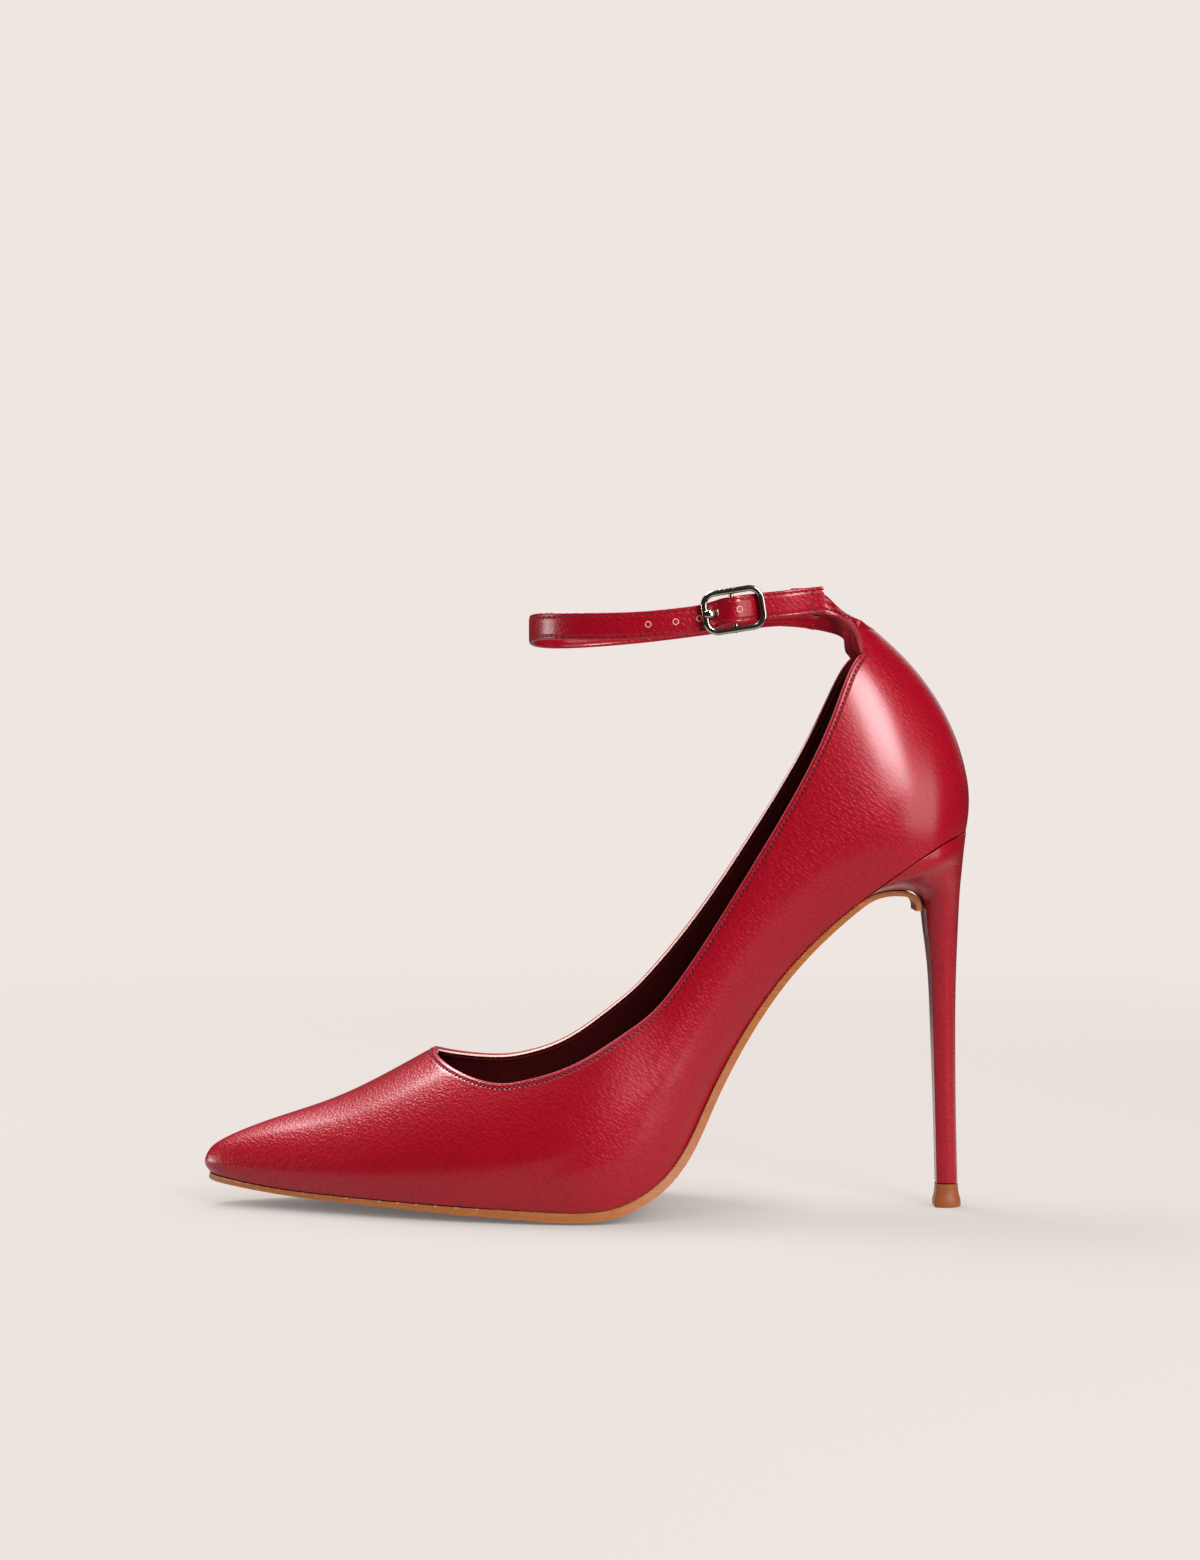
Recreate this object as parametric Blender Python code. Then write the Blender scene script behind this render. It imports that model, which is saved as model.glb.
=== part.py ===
"""Left ankle strap pump on a high stiletto heel, size 38.

Frame: +Z up, toe toward -X, heel toward +X, lateral (outer) side toward -Y, medial side
toward +Y. The origin is the bottom centre of the shoe's box. Sizes below are millimetres.

The upper is one hollow wall. Its outer face is a last function: at each station along the
foot a section rises from the feather line, where the sole meets it, to a crest. In front of
the throat the crest is the ridge of the vamp. Behind the throat the section stops short of
the crest, at the topline.
"""
import math
from collections import namedtuple

import bmesh
import bpy
import numpy as np

MM = 0.001
GAP = 0.3
WALL = 1.6
OUTSOLE_THICK = 2.6
FLAP_THICK = 1.5
WELT = 0.6
INSOLE_THICK = 1.5
INSOLE_INSET = 2.3
CROWN = 0.9

THROAT_X = -44.5
THROAT_LENGTH = 26.5
THROAT_BLUNT = 2.4
THROAT_ROUND = 0.4
SECTION_ROWS = 12
NOSE_STATIONS = 15
THROAT_STATIONS = 8
SIDE_STATIONS = 17
BAND_STATIONS = 7
BAND_ROWS = 3
BED_STATIONS = 38
FEATHER_CROWDING = 1.15
THROAT_CROWDING = 2.2
CORNER_X = 103.2
LIP_X = 76.4
SEAT_X = 77.0
FORE_END = 0.45

STRAP_WIDTH = 7.6
STRAP_THICK = 1.6
STRAP_BEVEL = 0.3
CHAPE_THICK = 1.1

BUCKLE_LENGTH = 17.9
BUCKLE_HEIGHT = 12.6
BUCKLE_BAR = 1.7
BUCKLE_DEPTH = 2.0
BUCKLE_CORNER = 4.2
BUCKLE_TILT = math.radians(9.0)
PIN_RADIUS = 0.7
PRONG_WIDTH = 2.2
PRONG_THICK = 0.9
PIN_CLEARANCE = 0.25
SLOT_WIDTH = PRONG_WIDTH + 0.8

# Last, nose to back seam. x z: feather line from the side; axis: y of the crest;
# lateral medial: fullest half widths from the axis; tuck: how far the feather line lies
# inside the fullest line; rise: part of the section over which the tuck dies out;
# top_x top_z: ridge of the vamp, or topline on the lateral side; open: topline half width
# over full half width; bow: sagitta of the section toward the heel.
Station = namedtuple("Station", "x z axis lateral medial tuck_lat tuck_med rise "
                                "top_x top_z open_lat open_med bow")
LAST = [
    Station(-110.9, 10.6, 5.0, 0.0, 0.0, 1.8, 1.8, 0.50, -109.2, 16.1, 0.72, 0.66, -0.85),
    Station(-105.6, 9.7, 4.9, 6.9, 6.5, 1.8, 1.8, 0.48, -105.4, 18.8, 0.72, 0.66, 0),
    Station(-98.0, 8.6, 4.7, 11.1, 10.0, 1.8, 1.8, 0.46, -98.0, 22.1, 0.72, 0.66, 0),
    Station(-87.0, 7.6, 4.2, 16.4, 14.4, 1.8, 1.8, 0.44, -87.0, 26.0, 0.72, 0.66, 0),
    Station(-70.0, 6.8, 3.4, 24.0, 20.8, 2.0, 2.0, 0.40, -70.0, 32.1, 0.73, 0.67, 0),
    Station(-52.0, 6.0, 2.8, 30.6, 26.9, 2.2, 2.2, 0.36, -52.0, 41.3, 0.75, 0.69, 0),
    Station(-32.0, 4.9, 2.4, 36.0, 32.4, 2.4, 2.4, 0.32, -31.9, 35.7, 0.76, 0.70, 0),
    Station(-12.0, 3.8, 2.0, 39.2, 34.8, 2.6, 2.8, 0.30, -14.0, 40.1, 0.785, 0.745, 0),
    Station(8.0, 4.8, 1.5, 39.0, 33.4, 3.4, 4.0, 0.32, 0.5, 46.0, 0.80, 0.754, 0),
    Station(24.0, 13.2, 1.2, 35.4, 30.6, 6.4, 7.4, 0.36, 11.0, 52.6, 0.83, 0.781, 0),
    Station(38.0, 36.8, 0.9, 31.0, 28.2, 9.6, 10.4, 0.42, 22.5, 62.6, 0.86, 0.795, 0),
    Station(55.0, 66.4, 0.5, 28.0, 26.8, 9.4, 9.8, 0.42, 38.5, 86.0, 0.87, 0.827, 0),
    Station(75.6, 87.5, 0.2, 26.4, 26.0, 5.6, 5.8, 0.32, 55.5, 113.8, 0.88, 0.861, 1.0),
    Station(93.0, 99.9, 0.0, 24.2, 24.2, 2.6, 2.6, 0.22, 69.5, 141.8, 0.86, 0.854, 3.2),
    Station(102.5, 105.3, 0.0, 18.6, 18.6, 1.9, 1.9, 0.18, 77.4, 158.2, 0.82, 0.82, 5.0),
    Station(107.5, 107.3, 0.0, 11.5, 11.5, 1.6, 1.6, 0.16, 84.6, 161.2, 0.80, 0.80, 6.2),
    Station(110.4, 108.4, 0.0, 0.0, 0.0, 1.5, 1.5, 0.15, 87.3, 161.6, 0.80, 0.80, 6.5),
]

# Upper edge of the counter's band, from the wing's root round to the back seam (x, y, z).
BAND_EDGE = [(77.8, 12.4, 168.0), (80.2, 7.8, 166.9), (81.8, 4.0, 166.2), (82.3, 0.0, 166.0)]

# Wings that carry the strap, from the root forward: lower edge, then upper edge (x, y, z),
# with y as the distance from the shoe's middle plane.
LATERAL_WING = [
    ((77.7, 15.9, 162.3), (76.4, 12.8, 168.6)),
    ((76.6, 17.5, 164.9), (74.6, 14.5, 169.4)),
    ((74.4, 19.3, 167.3), (72.3, 16.4, 170.7)),
    ((71.0, 20.8, 169.0), (70.2, 18.3, 172.3)),
    ((67.0, 21.7, 169.8), (67.7, 20.3, 174.4)),
    ((62.0, 22.4, 169.8), (62.4, 21.9, 176.4)),
    ((57.5, 23.0, 169.5), (57.5, 22.8, 176.5)),
]
MEDIAL_WING = [
    ((77.7, 15.8, 162.2), (76.6, 13.3, 168.9)),
    ((76.4, 17.7, 164.5), (74.6, 16.1, 170.4)),
    ((73.2, 19.9, 166.0), (71.6, 18.9, 172.4)),
    ((68.6, 21.8, 167.0), (67.6, 21.1, 174.0)),
    ((63.0, 23.0, 167.8), (62.6, 22.7, 175.2)),
    ((57.5, 23.7, 168.2), (57.5, 23.5, 175.8)),
]
WING_STATIONS = 12

# Top face of the outsole past the heel lip, under the seat and down the breast: x, z, half
# width.
FLAP = [(79.4, 89.6, 17.6), (84.0, 91.0, 13.6), (89.0, 91.2, 10.4), (93.0, 90.3, 8.6),
        (95.0, 88.4, 7.9), (95.5, 85.3, 7.6)]

# Heel below its seat, top to bottom: front x z, back x z, half width, breast half width
# over half width.
HeelRing = namedtuple("HeelRing", "front_x front_z back_x back_z half breast")
HEEL = [
    HeelRing(80.5, 90.5, 108.5, 104.6, 20.6, 0.86),
    HeelRing(86.5, 91.6, 108.1, 100.8, 17.6, 0.76),
    HeelRing(91.8, 91.2, 107.7, 96.8, 14.8, 0.70),
    HeelRing(95.3, 89.4, 107.3, 92.6, 12.4, 0.70),
    HeelRing(96.6, 86.0, 107.0, 88.2, 10.8, 0.74),
    HeelRing(97.2, 80.5, 106.7, 81.6, 9.2, 0.78),
    HeelRing(98.2, 71.3, 106.3, 71.8, 7.4, 0.80),
    HeelRing(98.9, 59.0, 106.0, 59.2, 5.9, 0.80),
    HeelRing(99.4, 42.0, 106.0, 42.0, 4.8, 0.80),
    HeelRing(99.9, 25.0, 106.2, 25.0, 4.1, 0.80),
    HeelRing(100.3, 6.9, 106.6, 6.9, 3.7, 0.80),
]
TIP = [
    HeelRing(100.3, 6.6, 106.7, 6.6, 3.7, 0.80),
    HeelRing(100.1, 3.6, 107.0, 3.6, 3.9, 0.80),
    HeelRing(99.7, 1.6, 107.5, 1.6, 4.3, 0.80),
    HeelRing(99.7, 0.0, 107.5, 0.0, 4.3, 0.80),
]

# Strap's middle line, from inside the medial wing forward round the ankle, through the
# buckle to the tail: x, y, z.
STRAP = [
    (67.5, 18.1, 170.2), (62.5, 19.8, 171.3), (57.0, 20.8, 171.6), (52.0, 22.0, 171.3),
    (46.0, 23.3, 170.6), (34.0, 24.3, 169.0), (18.0, 24.4, 167.0), (3.0, 22.8, 165.6),
    (-8.4, 17.4, 164.9), (-14.6, 9.0, 165.1), (-16.1, 0.0, 165.9), (-14.2, -9.4, 166.4),
    (-7.4, -17.8, 166.3),
    (4.0, -22.9, 166.1), (17.0, -24.8, 166.5), (27.0, -25.2, 167.5), (33.0, -25.35, 168.5),
    (37.1, -27.0, 169.7), (41.0, -28.8, 170.4), (44.6, -27.3, 171.0), (47.6, -25.6, 171.4),
    (51.0, -25.2, 171.8), (55.0, -25.0, 172.2), (60.0, -24.3, 172.8), (66.5, -23.9, 173.5),
]
# Short strap's middle line, from inside the lateral wing to the buckle's centre bar, where
# it folds back over the bar: x, y, z.
CHAPE = [(66.0, -17.9, 171.8), (62.5, -19.2, 172.4), (57.0, -20.35, 172.2),
         (51.0, -21.6, 171.6), (46.5, -22.4, 171.2)]
BUCKLE_X = 40.9
BUCKLE_Z = 170.4
FRAME_Y = -27.6
PIN_Y = -25.7

COLORS = {
    "leather": ((0.45, 0.010, 0.022, 1), 0.42, 0.0),
    "sock": ((0.050, 0.006, 0.010, 1), 0.60, 0.0),
    "sole": ((0.52, 0.22, 0.075, 1), 0.50, 0.0),
    "tip": ((0.42, 0.16, 0.055, 1), 0.45, 0.0),
    "metal": ((0.62, 0.61, 0.58, 1), 0.18, 1.0),
}


def spline(knots, values, at, level=False):
    """Cubic spline through values at knots: its ends run straight on, or stay level."""
    knots = np.asarray(knots, float)
    values = np.asarray(values, float)
    step = np.diff(knots)
    slope = np.diff(values, axis=0) / step.reshape(-1, *[1] * (values.ndim - 1))
    count = len(knots)
    system = np.eye(count)
    right = np.zeros_like(values)
    for i in range(1, count - 1):
        system[i, i - 1:i + 2] = step[i - 1], 2 * (step[i - 1] + step[i]), step[i]
        right[i] = 6 * (slope[i] - slope[i - 1])
    if level:
        system[0, :2] = 2 * step[0], step[0]
        system[-1, -2:] = step[-1], 2 * step[-1]
        right[0], right[-1] = 6 * slope[0], -6 * slope[-1]
    bend = np.linalg.solve(system, right)
    at = np.atleast_1d(np.asarray(at, float))
    k = np.clip(np.searchsorted(knots, at) - 1, 0, count - 2)
    shape = (-1, *[1] * (values.ndim - 1))
    h = step[k].reshape(shape)
    a = (knots[k + 1] - at).reshape(shape) / h
    b = 1 - a
    cubic = ((a ** 3 - a) * bend[k] + (b ** 3 - b) * bend[k + 1]) * h * h / 6
    return a * values[k] + b * values[k + 1] + cubic


ROWS = np.array(LAST, float)
STEPS = np.hypot(np.diff(ROWS[:, 0]), np.diff(ROWS[:, 1]))
ALONG = np.concatenate([[0.0], np.cumsum(STEPS)])
KNOTS = np.arccos(1 - 2 * ALONG / ALONG[-1]) / math.pi
CLOSE = np.where(ROWS[:, 0] < THROAT_X, 1, np.sqrt(1 - ROWS[:, 10] ** 2))[:, None]
CREST = ROWS[:, :2] + (ROWS[:, 8:10] - ROWS[:, :2]) / CLOSE
TABLE = np.hstack([ROWS, CREST])


def last_row(r):
    """All columns of the last at place r, 0 at the nose and 1 at the back seam.

    Widths run straight out at both ends and all else stays level there, so that the two
    sides meet in a round nose and a round back.
    """
    names = Station._fields + ("crest_x", "crest_z")
    row = dict(zip(names, spline(KNOTS, TABLE, r, level=True)[0]))
    row["lateral"], row["medial"] = spline(KNOTS, ROWS[:, 3:5], r)[0]
    return row


def place_at(x):
    """Place r where the feather line reaches the given x."""
    r = np.linspace(0, 1, 2001)
    return float(np.interp(x, spline(KNOTS, ROWS[:, 0], r, level=True), r))


def opening(row, side):
    """Topline half width over full half width: zero on the vamp, a U behind the throat."""
    share = (row["x"] - THROAT_X) / THROAT_LENGTH
    if share <= 1e-6:
        return 0.0
    wide = row["open_lat"] if side < 0 else row["open_med"]
    if share >= 1:
        return wide
    return wide * (1 - (1 - share) ** THROAT_BLUNT) ** THROAT_ROUND


def fullest(r, side):
    """Point of the fullest line in plan."""
    row = last_row(r)
    half = row["lateral"] if side < 0 else row["medial"]
    return np.array([row["x"], row["axis"] + side * max(half, 0.0)])


def outward(r, side):
    """Unit normal of the fullest line in plan, pointing away from the foot."""
    small = 0.002
    ahead = fullest(min(r + small, 1), side)
    behind = fullest(max(r - small, 0), side)
    run = ahead - behind
    if r < small:
        return np.array([-1.0, 0.0])
    if r > 1 - small:
        return np.array([1.0, 0.0])
    normal = np.array([-run[1], run[0]]) * side
    return normal / np.linalg.norm(normal)


def last_point(r, side, rise_angle):
    """Point of the last: up the section by an angle, 0 at the feather, pi/2 at the crest."""
    row = last_row(r)
    up = math.sin(rise_angle)
    foot = np.array([row["x"], row["z"]])
    chord = np.array([row["crest_x"], row["crest_z"]]) - foot
    shut = math.sqrt(1 - opening(row, -1) ** 2)
    bulge = 4 * row["bow"] * (up / shut) * (1 - up / shut)
    lean = np.array([chord[1], -chord[0]]) / np.linalg.norm(chord)
    x, z = foot + chord * up + lean * bulge
    half = max(row["lateral"] if side < 0 else row["medial"], 0.0)
    y = row["axis"] + side * half * math.cos(rise_angle)
    tuck = row["tuck_lat"] if side < 0 else row["tuck_med"]
    inset = tuck * max(0.0, 1 - up / row["rise"]) ** 2
    nx, ny = outward(r, side)
    return np.array([x - nx * inset, y - ny * inset, z])


def section(r, side):
    """Section of the upper from the feather line to the ridge or the topline."""
    stop = math.acos(opening(last_row(r), side))
    steps = np.linspace(0, 1, SECTION_ROWS + 1) ** FEATHER_CROWDING
    return [last_point(r, side, stop * s) for s in steps]


def stations():
    """Places of the sections: close at the nose, in the throat and at the back seam."""
    throat = place_at(THROAT_X)
    after = place_at(THROAT_X + THROAT_LENGTH)
    corner = place_at(CORNER_X)
    front = list(np.linspace(0, throat, NOSE_STATIONS + 1))
    bend = [throat + (after - throat) * s ** THROAT_CROWDING
            for s in np.linspace(0, 1, THROAT_STATIONS + 1)[1:]]
    sides = list(np.linspace(after, corner, SIDE_STATIONS + 1)[1:])
    band = list(np.linspace(corner, 1, BAND_STATIONS + 1)[1:])
    return front + bend + sides + band


def smooth_path(points, count):
    """Points evenly spread along a smooth curve through the given ones."""
    points = np.array(points, float)
    reach = np.linalg.norm(np.diff(points, axis=0), axis=1)
    knots = np.concatenate([[0.0], np.cumsum(reach)])
    return spline(knots, points, np.linspace(0, knots[-1], count))


def add_object(name, verts, faces, finish, smooth=True):
    """Object with one closed or open mesh, made of millimetre points."""
    mesh = bpy.data.meshes.new(name)
    body = bmesh.new()
    corners = [body.verts.new([c * MM for c in v]) for v in verts]
    for face in faces:
        body.faces.new([corners[i] for i in face])
    bmesh.ops.remove_doubles(body, verts=body.verts, dist=1e-6)
    bmesh.ops.recalc_face_normals(body, faces=body.faces)
    body.to_mesh(mesh)
    body.free()
    if smooth:
        mesh.shade_smooth()
        mesh.set_sharp_from_angle(angle=math.radians(35))
    shape = bpy.data.objects.new(name, mesh)
    bpy.context.collection.objects.link(shape)
    mesh.materials.append(finish)
    return shape


def finish_of(name):
    """Principled material with the colour, roughness and metallic value of its row."""
    color, rough, metal = COLORS[name]
    material = bpy.data.materials.new(name)
    material.use_nodes = True
    shader = material.node_tree.nodes["Principled BSDF"]
    shader.inputs["Base Color"].default_value = color
    shader.inputs["Roughness"].default_value = rough
    shader.inputs["Metallic"].default_value = metal
    return material


def grid_faces(rows, columns, start=0):
    """Quads of a grid whose points run row by row."""
    return [(start + i * columns + j, start + i * columns + j + 1,
             start + (i + 1) * columns + j + 1, start + (i + 1) * columns + j)
            for i in range(rows - 1) for j in range(columns - 1)]


def slab(top, bottom):
    """Closed solid between two grids of the same size: points and faces."""
    rows, columns = len(top), len(top[0])
    verts = [p for row in top for p in row] + [p for row in bottom for p in row]
    below = rows * columns
    faces = grid_faces(rows, columns)
    faces += [tuple(below + i for i in reversed(face)) for face in grid_faces(rows, columns)]
    rim = [j for j in range(columns)]
    rim += [i * columns + columns - 1 for i in range(1, rows)]
    rim += [(rows - 1) * columns + j for j in range(columns - 2, -1, -1)]
    rim += [i * columns for i in range(rows - 2, 0, -1)]
    faces += [(a, below + a, below + b, b) for a, b in zip(rim, rim[1:] + rim[:1])]
    return verts, faces


def loft(rings, ladder=False):
    """Closed solid through rings of points, its ends capped."""
    count = len(rings[0])
    verts = [p for ring in rings for p in ring]
    faces = []
    for k in range(len(rings) - 1):
        for i in range(count):
            j = (i + 1) % count
            faces.append((k * count + i, k * count + j, (k + 1) * count + j, (k + 1) * count + i))
    for base in (0, (len(rings) - 1) * count):
        if ladder:
            half = count // 2
            for i in range(half):
                a, b = base + i, base + i + 1
                c, d = base + count - 1 - i, base + (count - i) % count
                face = [a, b, c, d] if i else [a, b, c]
                if b == c:
                    face = [a, b, d]
                faces.append(tuple(face))
        else:
            faces.append(tuple(base + i for i in range(count)))
    return verts, faces


def make_upper(leather):
    """Outer face of the upper as one sheet, given its wall by a Solidify modifier."""
    places = stations()
    rows = SECTION_ROWS + 1
    verts, faces, collar = [], [], {}
    for side in (-1, 1):
        start = len(verts)
        for r in places:
            verts += [tuple(p) for p in section(r, side)]
        faces += grid_faces(len(places), rows, start)
        first = len(places) - 1 - BAND_STATIONS
        collar[side] = [verts[start + k * rows + rows - 1] for k in range(first, len(places))]
    edge = smooth_path(BAND_EDGE, BAND_STATIONS + 1)
    for side, wing in ((-1, LATERAL_WING), (1, MEDIAL_WING)):
        top = [(x, y * side, z) for x, y, z in edge]
        root_low, root_high = collar[side][0], top[0]
        low = [root_low] + [(x, y * side, z) for (x, y, z), _ in wing]
        high = [root_high] + [(x, y * side, z) for _, (x, y, z) in wing]
        low = smooth_path(low, WING_STATIONS + 1)[::-1]
        high = smooth_path(high, WING_STATIONS + 1)[::-1]
        lower = [tuple(p) for p in low[:-1]] + collar[side]
        upper = [tuple(p) for p in high[:-1]] + top
        start = len(verts)
        for a, b in zip(lower, upper):
            a, b = np.array(a), np.array(b)
            for s in np.linspace(0, 1, BAND_ROWS + 1):
                verts.append(tuple(a + (b - a) * s))
        faces += grid_faces(len(lower), BAND_ROWS + 1, start)
    shape = add_object("upper", verts, faces, leather)
    wall = shape.modifiers.new("wall", "SOLIDIFY")
    wall.thickness = WALL * MM
    wall.offset = -1
    wall.use_even_offset = True
    return shape


def sole_line(r):
    """Feather points on both sides and the downward normal of the bed at place r."""
    lateral, medial = last_point(r, -1, 0.0), last_point(r, 1, 0.0)
    small = 0.004
    ahead, behind = last_row(min(r + small, 1)), last_row(max(r - small, 0))
    run = np.array([ahead["x"] - behind["x"], ahead["z"] - behind["z"]])
    run /= np.linalg.norm(run)
    return lateral, medial, np.array([run[1], 0.0, -run[0]])


def across(lateral, medial, columns, grow=0.0):
    """Points straight across the bed, widened or narrowed at both edges."""
    reach = medial - lateral
    width = np.linalg.norm(reach)
    if width < 1e-6:
        return [lateral + (medial - lateral) * 0.5 for _ in range(columns)]
    unit = reach / width
    a, b = lateral - unit * grow, medial + unit * grow
    return [a + (b - a) * s for s in np.linspace(0, 1, columns)]


def make_outsole(leather):
    """Thin sole with a crowned underside, flattened where it stands on the floor."""
    columns = 9
    lip = place_at(LIP_X)
    places = lip * np.linspace(0, 1, BED_STATIONS) ** 1.1
    top, bottom = [], []
    crown = 1 - np.linspace(-1, 1, columns) ** 2
    for k, r in enumerate(places):
        lateral, medial, down = sole_line(r)
        welt = WELT * min(1.0, k / 3)
        upper = [p + down * GAP for p in across(lateral, medial, columns, welt)]
        share = min(max((r - FORE_END) / (lip - FORE_END), 0.0), 1.0)
        thick = OUTSOLE_THICK + (FLAP_THICK - OUTSOLE_THICK) * share
        rise = CROWN * min(1.0, k / 4) * (1 - share)
        lower = [p + down * (thick + rise * c) for p, c in zip(upper, crown)]
        top.append(upper)
        bottom.append([np.array([p[0], p[1], max(p[2], 0.0)]) for p in lower])
    head = (top[-1][0] + top[-1][-1]) / 2
    line = smooth_path([(head[0], abs(top[-1][0][1]), head[2])]
                       + [(x, half, z) for x, z, half in FLAP], 15)
    turn = np.gradient(line[:, [0, 2]], axis=0)
    turn /= np.linalg.norm(turn, axis=1)[:, None]
    for (x, half, z), (dx, dz) in list(zip(line, turn))[1:]:
        upper = [np.array([x, y, z]) for y in np.linspace(-half, half, columns)]
        top.append(upper)
        bottom.append([p + np.array([dz, 0, -dx]) * FLAP_THICK for p in upper])
    verts, faces = slab(top, bottom)
    return add_object("outsole", verts, faces, leather)


def bed_inset(r, side, inset):
    """Point of the bed set in from the feather line, still on the slope of the bed."""
    point = last_point(r, side, 0.0)
    down = sole_line(r)[2]
    nx, ny = outward(r, side)
    slope = down[0] / -down[2]
    return point - inset * np.array([nx, ny, nx * slope])


def make_insole(sock):
    """Sock on the bed inside the upper, following the arch up to the back of the seat."""
    columns = 7
    top, bottom = [], []
    for r in np.linspace(0, 1, BED_STATIONS):
        down = sole_line(r)[2]
        edges = [bed_inset(r, side, INSOLE_INSET) for side in (-1, 1)]
        lower = [p - down * GAP for p in across(edges[0], edges[1], columns)]
        bottom.append(lower)
        top.append([p - down * INSOLE_THICK for p in lower])
    verts, faces = slab(top, bottom)
    return add_object("insole", verts, faces, sock)


def heel_ring(row, spread):
    """D-shaped ring, lateral side from breast to back, then the medial side forward."""
    lateral, medial = [], []
    waist = 0.45
    for s in spread:
        if s > waist:
            width = math.sqrt(max(0.0, 1 - ((s - waist) / (1 - waist)) ** 2))
        else:
            width = 1 - (1 - row.breast) * ((waist - s) / waist) ** 2
        x = row.front_x + (row.back_x - row.front_x) * s
        z = row.front_z + (row.back_z - row.front_z) * s
        lateral.append((x, -row.half * width, z))
        medial.append((x, row.half * width, z))
    return lateral + medial[-2::-1]


def make_heel(leather):
    """Covered stiletto: its seat follows the feather line, the stem is D-shaped."""
    count = 10
    spread = np.sin(np.linspace(0, math.pi / 2, count))
    places = np.linspace(place_at(SEAT_X), 1, count)
    lateral, medial = [], []
    for r in places:
        a, b, down = sole_line(r)
        lateral.append(a + down * GAP)
        medial.append(b + down * GAP)
    rings = [[tuple(p) for p in lateral + medial[-2::-1]]]
    rings += [heel_ring(row, spread) for row in HEEL]
    verts, faces = loft(rings, ladder=True)
    return add_object("heel", verts, faces, leather)


def make_heel_tip(tip):
    """Top piece under the stem, flaring to a flat foot on the floor."""
    spread = np.sin(np.linspace(0, math.pi / 2, 10))
    verts, faces = loft([heel_ring(row, spread) for row in TIP])
    return add_object("heel_tip", verts, faces, tip)


def strip(line, width, thick, upright=(0, 0, 1)):
    """Rings of a flat strap along a line of points, its width along the upright."""
    run = np.gradient(line, axis=0)
    run /= np.linalg.norm(run, axis=1)[:, None]
    rings = []
    for point, along in zip(line, run):
        face = np.cross(along, upright)
        face /= np.linalg.norm(face)
        edge = np.cross(face, along)
        h, t = width / 2, thick / 2
        a, b = h - STRAP_BEVEL, t - STRAP_BEVEL
        profile = [(-h, -b), (-a, -t), (a, -t), (h, -b), (h, b), (a, t), (-a, t), (-h, b)]
        rings.append([tuple(point + edge * up + face * out) for up, out in profile])
    return rings


def hidden(name, verts, faces):
    """Solid that only cuts or completes its neighbour and is not a piece of its own."""
    shape = add_object(name, verts, faces, bpy.data.materials["metal"], smooth=False)
    shape.hide_render = True
    shape.display_type = "WIRE"
    return shape


def block(center, size):
    """Upright box in the buckle's own tilted frame: points and faces."""
    half = np.array(size) / 2
    bottom = [(-1, -1, -1), (1, -1, -1), (1, 1, -1), (-1, 1, -1)]
    top = [(x, y, 1) for x, y, _ in bottom]
    place = [buckle_point(*(np.array(center) + half * np.array(c))) for c in bottom + top]
    return place, [(0, 1, 2, 3), (4, 5, 6, 7), (0, 1, 5, 4), (1, 2, 6, 5), (2, 3, 7, 6),
                   (3, 0, 4, 7)]


def buckle_point(along, out, up):
    """World point of the buckle's frame: along the strap, out in y, up across the strap."""
    c, s = math.cos(BUCKLE_TILT), math.sin(BUCKLE_TILT)
    return (BUCKLE_X + along * c - up * s, out, BUCKLE_Z + along * s + up * c)


def combine(shape, tool, operation):
    """Exact Boolean of a shape with a hidden tool: DIFFERENCE cuts it out, UNION joins it."""
    step = shape.modifiers.new(tool.name, "BOOLEAN")
    step.operation = operation
    step.solver = "EXACT"
    step.object = tool


def make_ankle_strap(leather):
    """Long strap with a slot where the prong passes through it."""
    line = smooth_path(STRAP, 92)
    verts, faces = loft(strip(line, STRAP_WIDTH, STRAP_THICK))
    shape = add_object("ankle_strap", verts, faces, leather)
    slot = block((-3.6, FRAME_Y, 0), (6.4, 5.2, SLOT_WIDTH))
    combine(shape, hidden("strap_slot", *slot), "DIFFERENCE")
    return shape


def make_buckle_strap(leather):
    """Short strap folded round the centre bar, with a slot for the prong's eye."""
    bend = PIN_RADIUS + PIN_CLEARANCE + CHAPE_THICK / 2
    straight = smooth_path(CHAPE, 16)
    fold = []
    for angle in np.linspace(math.radians(102), math.radians(296), 12):
        fold.append(buckle_point(bend * math.cos(angle), PIN_Y + bend * math.sin(angle), 0))
    back = [buckle_point(3.3, PIN_Y + 0.3, 0), buckle_point(5.2, PIN_Y + 1.7, 0)]
    line = np.vstack([straight, fold, smooth_path([fold[-1]] + back, 6)[1:]])
    upright = (-math.sin(BUCKLE_TILT), 0, math.cos(BUCKLE_TILT))
    verts, faces = loft(strip(line, STRAP_WIDTH - 0.4, CHAPE_THICK, upright))
    shape = add_object("buckle_strap", verts, faces, leather)
    slot = block((-1.2, PIN_Y, 0), (6.6, 6.0, SLOT_WIDTH))
    combine(shape, hidden("fold_slot", *slot), "DIFFERENCE")
    return shape


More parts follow.
